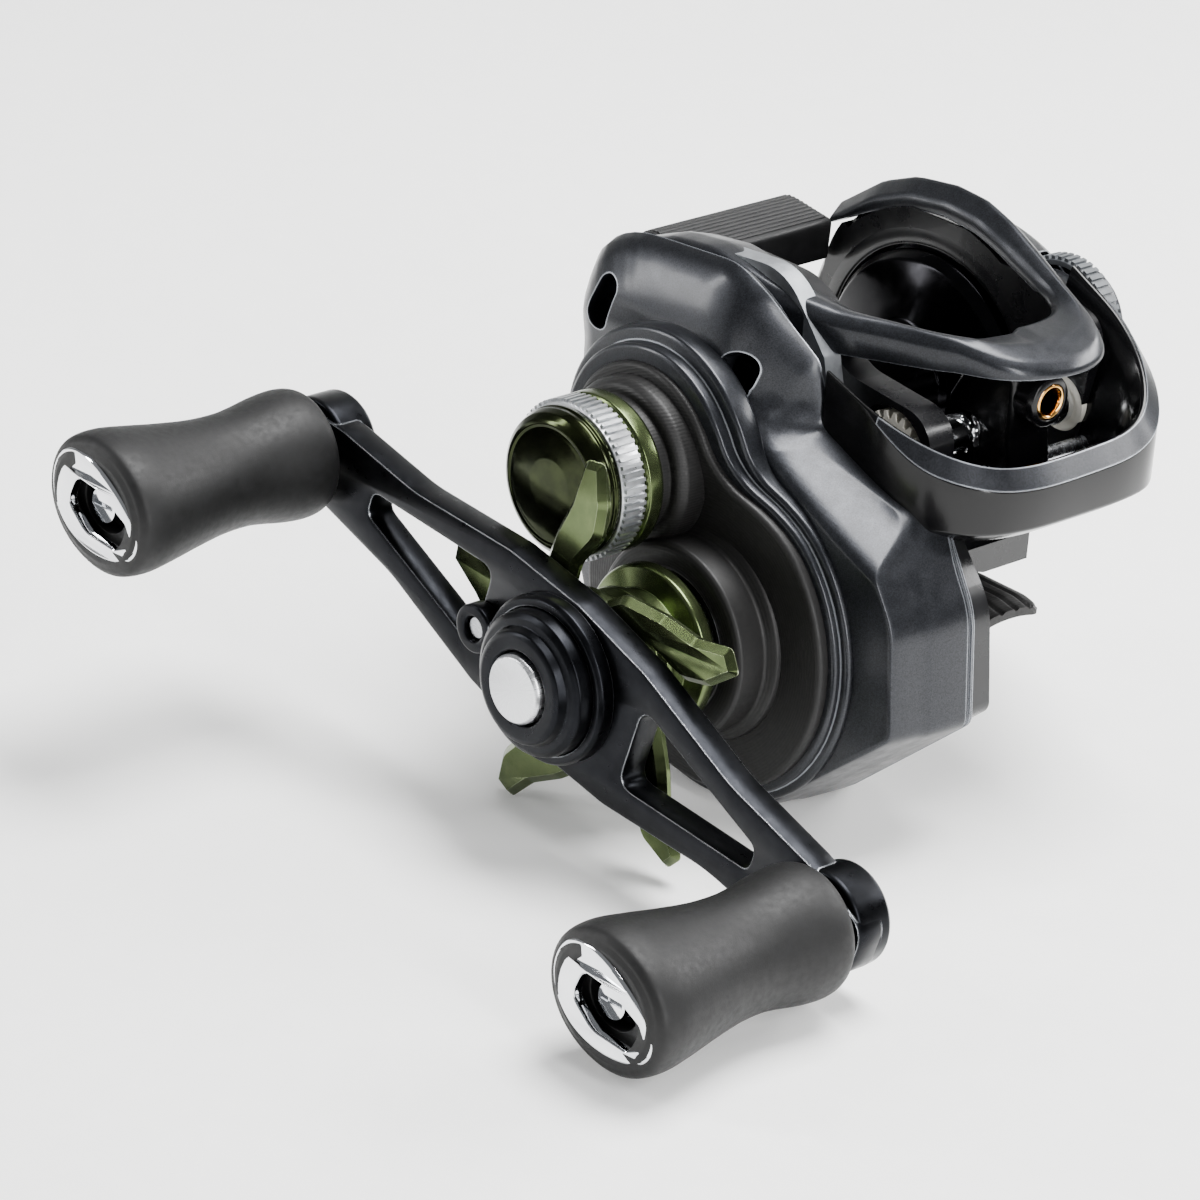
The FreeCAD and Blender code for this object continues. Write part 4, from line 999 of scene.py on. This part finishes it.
# %% [markdown]
# ## Line guide
# The worm carries two looping grooves that cross. Its surface is a height map round a cylinder: the
# radius drops wherever either groove passes.
# %% Worm and line guide
def build_worm():
    core, depth, width, turns = 2.2, 0.55, 0.62, 4.5
    reach = 9.3
    rows, count = 300, 64
    sections = []
    for k in range(rows + 1):
        y = -11.2 + 22.4 * k / rows
        section = []
        for i in range(count):
            a = 2 * math.pi * i / count
            drop = 0.0
            if abs(y) < reach + width:
                phase = turns * math.pi * min(1.0, max(-1.0, y / reach))
                for side in (-1, 1):
                    gap = (a - side * phase + math.pi) % (2 * math.pi) - math.pi
                    near = abs(gap) * reach / (turns * math.pi)
                    drop = max(drop, smooth_step(width, width * 0.55, near))
            r = core - depth * drop
            section.append((WORM[0] + r * math.cos(a), y, WORM[1] + r * math.sin(a)))
        sections.append(section)
    low, high = span("worm_shaft")
    spindle = lathe(soft([(0.0, low.y), (1.48, low.y), (1.48, high.y), (0.0, high.y)], 0.15), WORM, 48)
    finished("worm_grooved", merged([skin(sections), spindle]), "chrome", "worm", ["worm_shaft"])


def along_x(mesh, place):
    """Turns a mesh made about the Y axis at the origin to lie along X, facing forward, at a place."""
    mesh.transform(Matrix.Translation((0, 0, -LIFT * MM)))
    mesh.transform(Matrix.Translation(Vector((place[0], place[1], place[2] + LIFT)) * MM)
                   @ Matrix.Rotation(-math.pi / 2, 4, "Z"))
    return mesh


def build_guide():
    low, high = span("guide_block")
    eye_low, eye_high = span("guide_insert")
    eye_z = (eye_low.z + eye_high.z) / 2
    front = high.x
    corners = [(low.x, WORM[1] - 6.0, 1.5), (front - 1.6, low.z + 2.0, 1.4),
               (front - 2.6, WORM[1] + 1.0, 1.0), (front - 2.6, eye_z + 2.9, 1.2),
               (WORM[0] - 0.5, eye_z + 2.6, 2.0), (low.x, WORM[1] + 3.0, 2.0)]
    body = plate([rounded(corners)], -3.2, 3.2, 0.6, 3)
    barrel = along_x(lathe(soft([(1.95, -2.0), (2.9, -2.0), (3.0, -1.6), (3.0, 1.8), (2.75, 2.4),
                                 (2.1, 2.58), (1.95, 2.4)], 0.15, closed=True), closed=True, count=72),
                     (front - 2.6, 0, eye_z))
    throat = along_x(lathe([(0.0, -12.0), (1.9, -12.0), (1.9, 4.0), (0.0, 4.0)], count=48),
                     (front - 2.6, 0, eye_z))
    bores = [throat, lathe([(0.0, -5.0), (2.26, -5.0), (2.26, 5.0), (0.0, 5.0)], WORM, 48)]
    rod_low, rod_high = span("guide_rod")
    rod_at = ((rod_low.x + rod_high.x) / 2, (rod_low.z + rod_high.z) / 2)
    bores.append(lathe([(0.0, -5.0), (0.96, -5.0), (0.96, 5.0), (0.0, 5.0)], rod_at, 32))
    finished("guide_carriage", merged([carved(body, bores), barrel]), "gloss_black", "line_guide",
             ["guide_block"])
    ring = [(1.4, -2.3), (1.4, -0.5), (1.52, -0.15), (1.75, 0.0), (2.0, -0.1), (2.05, -0.4), (2.05, -2.3)]
    finished("guide_eye_ring", along_x(lathe(soft(ring, 0.1, closed=True), closed=True, count=72),
                                       (front + 0.02, 0, eye_z)), "gold_ring", "line_guide", ["guide_insert"])


build_worm()
build_guide()

# %% [markdown]
# ## Handle
# The double arm is one bevelled plate with a window in each half. The nut is a stack of turned rings,
# and each knob is a waisted rubber grip with a bridged chrome cap over its screw.
# %% Handle arm and nut
TILT = math.atan2(KNOBS["rear"][1] - SHAFT[1], SHAFT[0] - KNOBS["rear"][0])


def on_arm(distance, offset=0.0):
    """Point on the handle's long axis from the main shaft; positive distance is forward."""
    return (SHAFT[0] + distance * math.cos(TILT) + offset * math.sin(TILT),
            SHAFT[1] - distance * math.sin(TILT) + offset * math.cos(TILT))


def arm_outline(points):
    return rounded([(*on_arm(a, b), r) for a, b, r in points])


def build_arm():
    low = span("handle_arm")[0]
    outer = [(-47.5, -3.4, 3.2), (-38, -5.0, 6), (-26, -5.6, 20), (-11, -8.8, 8), (0, -9.6, 8),
             (11, -8.8, 8), (26, -5.6, 20), (38, -5.0, 6), (47.5, -3.4, 3.2), (47.5, 3.4, 3.2),
             (38, 5.0, 6), (26, 5.6, 20), (11, 8.8, 8), (0, 9.6, 8), (-11, 8.8, 8), (-26, 5.6, 20),
             (-38, 5.0, 6), (-47.5, 3.4, 3.2)]
    windows = [[(s * 12.4, -5.0, 1.6), (s * 31.4, -1.4, 1.2), (s * 31.4, 1.4, 1.2),
                (s * 12.4, 5.0, 1.6)] for s in (-1, 1)]
    flat = plate([arm_outline(outer)] + [arm_outline(w) for w in windows], low.y, -47.4, 0.55, 1)
    pieces = [flat]
    for name in KNOBS:
        boss = soft([(2.0, -50.6), (5.3, -50.6), (5.5, -50.2), (5.5, -46.4), (5.1, -45.9), (2.0, -45.9)],
                    0.2, closed=True)
        pieces.append(lathe(boss, KNOBS[name], 72, closed=True))
    finished("handle_arm_plate", merged(pieces), "dark_anodised", "handle", ["handle_arm"], 25)


def build_nut():
    stack = [(3.1, -51.0), (7.9, -51.0), (7.9, -53.4), (7.8, -54.5), (7.2, -54.9), (6.4, -55.0),
             (6.1, -56.0), (5.6, -56.2), (4.2, -56.2), (3.95, -55.8), (3.95, -53.0), (3.1, -53.0)]
    finished("nut_rings", lathe(soft(stack, 0.18, closed=True), SHAFT, closed=True), "dark_anodised",
             "handle", ["handle_nut"])
    cap = [(0.0, -53.1), (3.8, -53.1), (3.8, -56.5), (3.5, -56.95), (0.0, -57.0)]
    finished("nut_cap_brushed", lathe(soft(cap, 0.15), SHAFT, 96), "brushed_cap", "handle", ["nut_cap"])
    low, high = span("nut_retainer")
    ear_x, ear_z = on_arm(-10.9, -1.2)
    ring = lathe(soft([(8.0, high.y), (9.15, high.y), (9.15, low.y + 0.5), (8.8, low.y), (8.0, low.y)],
                      0.15, closed=True), SHAFT, closed=True)
    ear = plate([circle(2.7, (ear_x, ear_z), 48), circle(1.35, (ear_x, ear_z), 32)], low.y, high.y, 0.3)
    finished("nut_retainer_ring", merged([ring, ear]), "dark_anodised", "handle", ["nut_retainer"])


# %% [markdown]
# The knob is soft rubber with a waist. A plain lathe would look like a bottle, so a function of the angle
# squeezes the turned shape into an oval. A leaf of bright metal with one window is bent over its end.
# %% Knobs
LEAF_TURN = math.radians(-20)


def build_knob(side):
    centre = KNOBS[side]
    low, high = span("knob_grip_" + side)
    root, end = high.y, low.y
    long = root - end

    def paddle(radius, angle, y):
        """Flattens the grip a little across the handle, more toward its outer end."""
        share = smooth_step(0.15, 0.8, (root - y) / long)
        return radius * (1 - 0.15 * share * math.sin(angle + TILT) ** 2)

    grip = [(2.06, root), (5.2, root), (6.6, root - 0.5), (7.1, root - 2.0), (7.0, root - 4.5),
            (6.5, root - 8.0), (6.35, root - 10.5), (6.6, root - 14.0), (7.3, root - 18.0),
            (8.1, root - 22.0), (8.55, root - 25.0), (8.4, root - 27.2), (7.8, root - 28.0),
            (7.2, end + 1.0), (6.6, end + 0.75), (5.2, end + 0.8), (5.2, end + 2.2), (3.4, end + 2.4),
            (3.4, end + 4.4), (2.06, end + 4.4)]
    rail = [(p.x, p.y) for p in spline_rail([(r, y, 0) for r, y in grip[1:14]], 60)]
    body = lathe(grip[:1] + rail + soft(grip[13:], 0.15), centre, 128, paddle, closed=True)
    finished("knob_rubber_" + side, body, "grip_rubber", "knob_" + side, ["knob_grip_" + side])

    rim = [(7.7 * math.cos(a),
            4.9 * math.sin(a) * (1 - 0.15 * math.cos(a))) for a in (i * math.pi / 60 for i in range(120))]
    window = [(-3.4, -1.6, 1.5), (0.5, -2.7, 3), (4.8, -1.7, 1.0), (6.7, 0.2, 0.6), (5.0, 2.0, 1.0),
              (0.5, 2.8, 3), (-3.2, 1.8, 1.5)]
    flat = plate([turned_by(o, centre, LEAF_TURN) for o in (rim, rounded(window))], end, end + 1.3, 0.3, 2)
    for vertex in flat.vertices:
        out = math.hypot(vertex.co.x / MM - centre[0], vertex.co.z / MM - LIFT - centre[1])
        vertex.co.y += 1.1 * MM * (out / 7.6) ** 2
    finished("knob_bridge_" + side, flat, "chrome", "knob_" + side, ["knob_cap_" + side])


def turned_by(outline, centre, angle):
    """Outline about the origin, turned and moved to a centre."""
    c, s = math.cos(angle), math.sin(angle)
    return [(centre[0] + u * c - v * s, centre[1] + u * s + v * c) for u, v in outline]


build_arm()
build_nut()
for side in KNOBS:
    build_knob(side)

# %% [markdown]
# ## Star drag and tension knob
# The star wheel sets the drag. Its arms are one outline given in polar steps and turned five times, with
# a bevel round the whole edge. The tips are raised, so that a thumb finds them under the handle.
# %% Star drag
STAR_EDGE = ((6.5, 75, 0.5), (11.0, 43, 3), (14.6, 21, 4), (18.0, 9, 3), (22.4, 4, 0.8),
             (22.6, -3, 0.8), (18.5, -7, 3), (14.6, -6, 4), (11.0, 9, 3), (6.5, 30, 0.5))
STAR_TIP = 22.0


def build_star():
    low = span("star_drag")[0]
    pieces = []
    for i in range(5):
        corners = []
        for radius, lean, corner in STAR_EDGE:
            a = math.radians(STAR_TIP + 72 * i + lean)
            corners.append((SHAFT[0] + radius * math.cos(a), SHAFT[1] + radius * math.sin(a), corner))
        arm = plate([rounded(corners)], low.y + 0.05, -45.0, 0.75, 0)
        for vertex in arm.vertices:
            x, z = vertex.co.x / MM - SHAFT[0], vertex.co.z / MM - LIFT - SHAFT[1]
            vertex.co.y += 0.5 * MM * smooth_step(19.0, 22.5,
                                                  math.hypot(x, z)) * (1 if vertex.co.y / MM < -46 else 0)
        pieces.append(arm)
    hub = [(3.1, -46.9), (8.2, -46.9), (8.4, -46.6), (8.4, -45.2), (8.0, -45.0), (7.0, -44.6), (6.6, -43.9),
           (6.6, -42.4), (7.4, -41.8), (7.4, -41.0), (6.6, -40.6), (6.6, -38.6), (8.8, -38.1), (9.0, -37.8),
           (9.0, -36.6), (8.7, -36.3), (3.1, -36.3)]
    pieces.append(lathe(soft(hub, 0.15, closed=True), SHAFT, closed=True))
    finished("star_wheel", merged(pieces), "green_anodised", "star_drag", ["star_drag"], 20)


# %% [markdown]
# The tension knob is three turned pieces: a green anodised base, a knurled ring and a domed cap. The knurl is the
# Geometry Nodes ring of teeth, so its count and depth stay easy to change.
# %% Tension knob
def build_tension():
    low, high = span("tension_base")
    base = [(5.95, low.y), (8.3, low.y), (8.7, low.y + 0.3), (8.75, high.y - 0.5), (8.4, high.y),
            (5.95, high.y)]
    finished("tension_base_ring", lathe(soft(base, 0.15, closed=True), closed=True), "green_anodised",
             "tension_knob", ["tension_base"])
    low, high = span("tension_ring")
    core = [(5.95, low.y), (8.35, low.y), (8.35, high.y - 0.1), (5.95, high.y - 0.1)]
    teeth = knurl(SPOOL, 8.35, low.y + 0.25, high.y - 0.35, 64, 0.4, 0.8, MAT["bright_aluminium"])
    finished("tension_knurl", merged([lathe(soft(core, 0.2, closed=True), closed=True), teeth]),
             "bright_aluminium", "tension_knob", ["tension_ring"])
    low, high = span("tension_cap")
    top, face = high.y, low.y
    cap = [(0.0, top - 0.05), (8.15, top - 0.05), (8.2, top - 0.5), (8.0, top - 0.7), (8.05, top - 1.1),
           (7.7, top - 1.9), (7.1, face + 0.4), (6.6, face + 0.22), (6.3, face + 0.3), (5.8, face + 0.22),
           (3.0, face + 0.04), (0.0, face)]
    finished("tension_dome", lathe(soft(cap, 0.12), SPOOL, 160), "green_gloss", "tension_knob",
             ["tension_cap"])


build_star()
build_tension()

# %% [markdown]
# ## Thumb bar and foot
# The thumb bar is a bevelled plate with a ribbed rubber pad. The ribs are a Geometry Nodes row, laid on
# the curved top of the bar afterwards.
# %% Thumb bar
def build_thumb():
    corners = [(-25.4, 10.5, 0.8), (-18.6, 10.4, 0.6), (-18.2, 8.6, 0.5), (-15.9, 8.6, 0.5),
               (-15.7, 13.4, 0.8), (-22.5, 14.2, 2.5), (-25.5, 12.3, 1.0)]
    body = plate([rounded(corners)], -10.95, 10.95, 0.3)
    count = 13
    pitch = 9.0 / count
    ribs = bake(RIB_ROW, Pitch=pitch * MM, Rib_Radius=0.3 * MM, Length=20.8 * MM, Count=count,
                Material=MAT["ribbed_grey"])
    ribs.transform(Matrix.Rotation(math.pi / 2, 4, "X"))
    for vertex in ribs.vertices:
        x = vertex.co.x / MM - 25.0
        vertex.co.x = x * MM
        vertex.co.z += (LIFT + top_of_bar(x)) * MM
    finished("thumb_pad", merged([body, ribs]), "ribbed_grey", "thumb_bar", ["thumb_bar"])


def top_of_bar(x):
    """Height of the bar's top surface at x."""
    return 12.3 + 1.75 * smooth_step(-26.0, -22.0, x) - 0.65 * smooth_step(-22.0, -15.5, x)


# %% [markdown]
# The foot is a saddle-curved strip that sits on the rod. It is skinned along its length, and the cross
# section changes from the thin tips to the thick middle under the frame.
# %% Foot
def build_foot():
    """Saddle-curved strip; its front tip has shallow grooves along it."""
    low, high = span("reel_foot")
    columns, rows = 110, 46
    radius, thick, half = 16.0, 1.5, 5.7

    def half_width(x):
        front = 1.4 * smooth_step(high.x - 1.6, high.x, x) ** 2
        rear = 2.2 * smooth_step(low.x + 2.5, low.x, x) ** 2
        return half - front - rear

    sections = []
    for i in range(columns + 1):
        x = low.x + 0.05 + (high.x - low.x - 0.1) * i / columns
        over, under = [], []
        for k in range(rows + 1):
            y = half_width(x) * (2 * k / rows - 1)
            drop = radius - math.sqrt(radius ** 2 - y * y)
            groove = 0.25 * smooth_step(0.45, 0.15, abs((y + 6.6) % 2.2 - 1.1)) * smooth_step(15.0, 16.5,
                                                                                              abs(x - 0.0))
            ease = 0.5 * smooth_step(high.x - 3.0, high.x, x)
            edge = 0.35 * smooth_step(0.85, 1.0, abs(2 * k / rows - 1))
            over.append((x, y, -LIFT + thick - drop - groove - ease - edge))
            under.append((x, y, -LIFT - drop + edge * 0.3))
        sections.append(over + under[::-1])
    finished("foot_strip", skin(sections), "matt_black", "frame", ["reel_foot"], 50)


build_thumb()
build_foot()

# %% [markdown]
# ## Finishes on the inner pieces
# Every CAD node that still shows gets the finish of its own material slot. The frame then takes satin black
# in place of its slot, as painted shade where it shows under the nose.
# %% Paint the CAD nodes
for part in frame["record"]["subparts"]:
    node = frame["nodes"][part["node"]]
    node.data.materials.clear()
    node.data.materials.append(MAT[part["material_slot"]])
# painted shade: the frame is darkened to satin black in place of its graphite slot
frame["nodes"]["frame"].data.materials[0] = MAT["satin_black"]

# %% [markdown]
# ## Stage, light and camera
# A pale floor, a soft key from above, strips for the long highlights, and the camera on the gear side.
# %% Stage
def stage_sheet():
    """Floor that turns up into a backdrop behind the reel."""
    floor = -36.0
    bends = [i * math.pi / 32 for i in range(1, 17)]
    curve = [(600 + 400 * math.sin(a), floor + 400 - 400 * math.cos(a)) for a in bends]
    path = [(-1500, floor), (600, floor)] + curve + [(1000, 1600)]
    points, faces = [], []
    across = Vector((0.76, 0.65, 0))
    away = Vector((-0.65, 0.76, 0))
    for depth, height in path:
        for side in (-1800, 1800):
            place = away * depth + across * side
            points.append((place.x, place.y, height))
    for k in range(len(path) - 1):
        faces.append((2 * k, 2 * k + 1, 2 * k + 3, 2 * k + 2))
    sheet = bpy.data.objects.new("pale_floor", new_mesh(points, faces))
    bpy.context.scene.collection.objects.link(sheet)
    for polygon in sheet.data.polygons:
        polygon.use_smooth = True
    material, tree, shader, where = surface("pale_paper", Roughness=0.85, **{"Emission Strength": 0.13})
    cloud = add(tree, "ShaderNodeTexNoise", {"Vector": where}, {"Scale": per_mm(3.0), **NOISE})
    share = add(tree, "ShaderNodeMapRange", {"Value": cloud.outputs["Fac"]}, MIDDLE)
    white = add(tree, "ShaderNodeMix", {"Factor": share.outputs["Result"]},
                {"A": linear("#f6f6f5"), "B": linear("#fafaf9")}, data_type="RGBA")
    for socket in ("Base Color", "Emission Color"):
        tree.links.new(white.outputs["Result"], shader.inputs[socket])
    sheet.data.materials.append(material)


def area_light(name, place, target, size, size_y, power, tint="#ffffff"):
    lamp = bpy.data.lights.new(name, "AREA")
    lamp.shape = "RECTANGLE"
    lamp.size, lamp.size_y = size * MM, size_y * MM
    lamp.energy = power
    lamp.color = linear(tint)[:3]
    holder = bpy.data.objects.new(name, lamp)
    holder.location = Vector(place) * MM
    aim = (Vector(target) - Vector(place)).to_track_quat("-Z", "Y")
    holder.rotation_euler = aim.to_euler()
    bpy.context.scene.collection.objects.link(holder)
    return holder


# %% [markdown]
# Polished metal shows the shape of its lamps. One large soft lamp hangs above, narrow strips draw long
# highlights along the edges, and a back light parts the black pieces from each other.
# %% Lights
def build_lights():
    middle = (5, -20, 10)
    area_light("key_above", (40, 120, 560), middle, 380, 260, 9.5)
    area_light("strip_front", (520, -120, 200), middle, 90, 420, 3.0)
    area_light("strip_left", (-380, -420, 240), middle, 60, 420, 2.4)
    area_light("back_edge", (160, 480, 300), middle, 420, 120, 4.0)
    area_light("low_fill", (220, -480, -10), middle, 300, 160, 0.35)
    world = bpy.data.worlds.new("studio_grey")
    world.use_nodes = True
    world.node_tree.nodes["Background"].inputs["Color"].default_value = linear("#e9ebee")
    world.node_tree.nodes["Background"].inputs["Strength"].default_value = 0.28
    bpy.context.scene.world = world


# %% [markdown]
# The camera looks at the gear side from ahead and above. A long lens from far away keeps circles round
# and the handle in proportion. The camera is built from three turns, then moved aside and up.
# %% Camera
AZIMUTH, ELEVATION, ROLL = 45.6546, 24.5269, 4.6706
STAND = 614.681                                 # from the axis crossing to the lens
ASIDE, UP = -32.850, -3.827                     # slide of the camera in its own plane
LENS = 168.7


def build_camera():
    a, e, r = (math.radians(v) for v in (AZIMUTH, ELEVATION, ROLL))
    back = Vector((math.cos(e) * math.sin(a), -math.cos(e) * math.cos(a), math.sin(e)))
    level = Vector((math.cos(a), math.sin(a), 0))
    upright = back.cross(level)
    right = level * math.cos(r) + upright * math.sin(r)
    up = upright * math.cos(r) - level * math.sin(r)
    camera = bpy.data.objects.new("camera", bpy.data.cameras.new("camera"))
    camera.data.lens = LENS
    camera.data.sensor_width = 36.0
    turn = Matrix((right, up, back)).transposed()
    place = (Vector((SHAFT[0], 0, LIFT + SHAFT[1])) + back * STAND + right * ASIDE + up * UP) * MM
    camera.matrix_world = Matrix.Translation(place) @ turn.to_4x4()
    bpy.context.scene.collection.objects.link(camera)
    bpy.context.scene.camera = camera
    print("camera at", [round(c / MM, 1) for c in place])


stage_sheet()
build_lights()
build_camera()
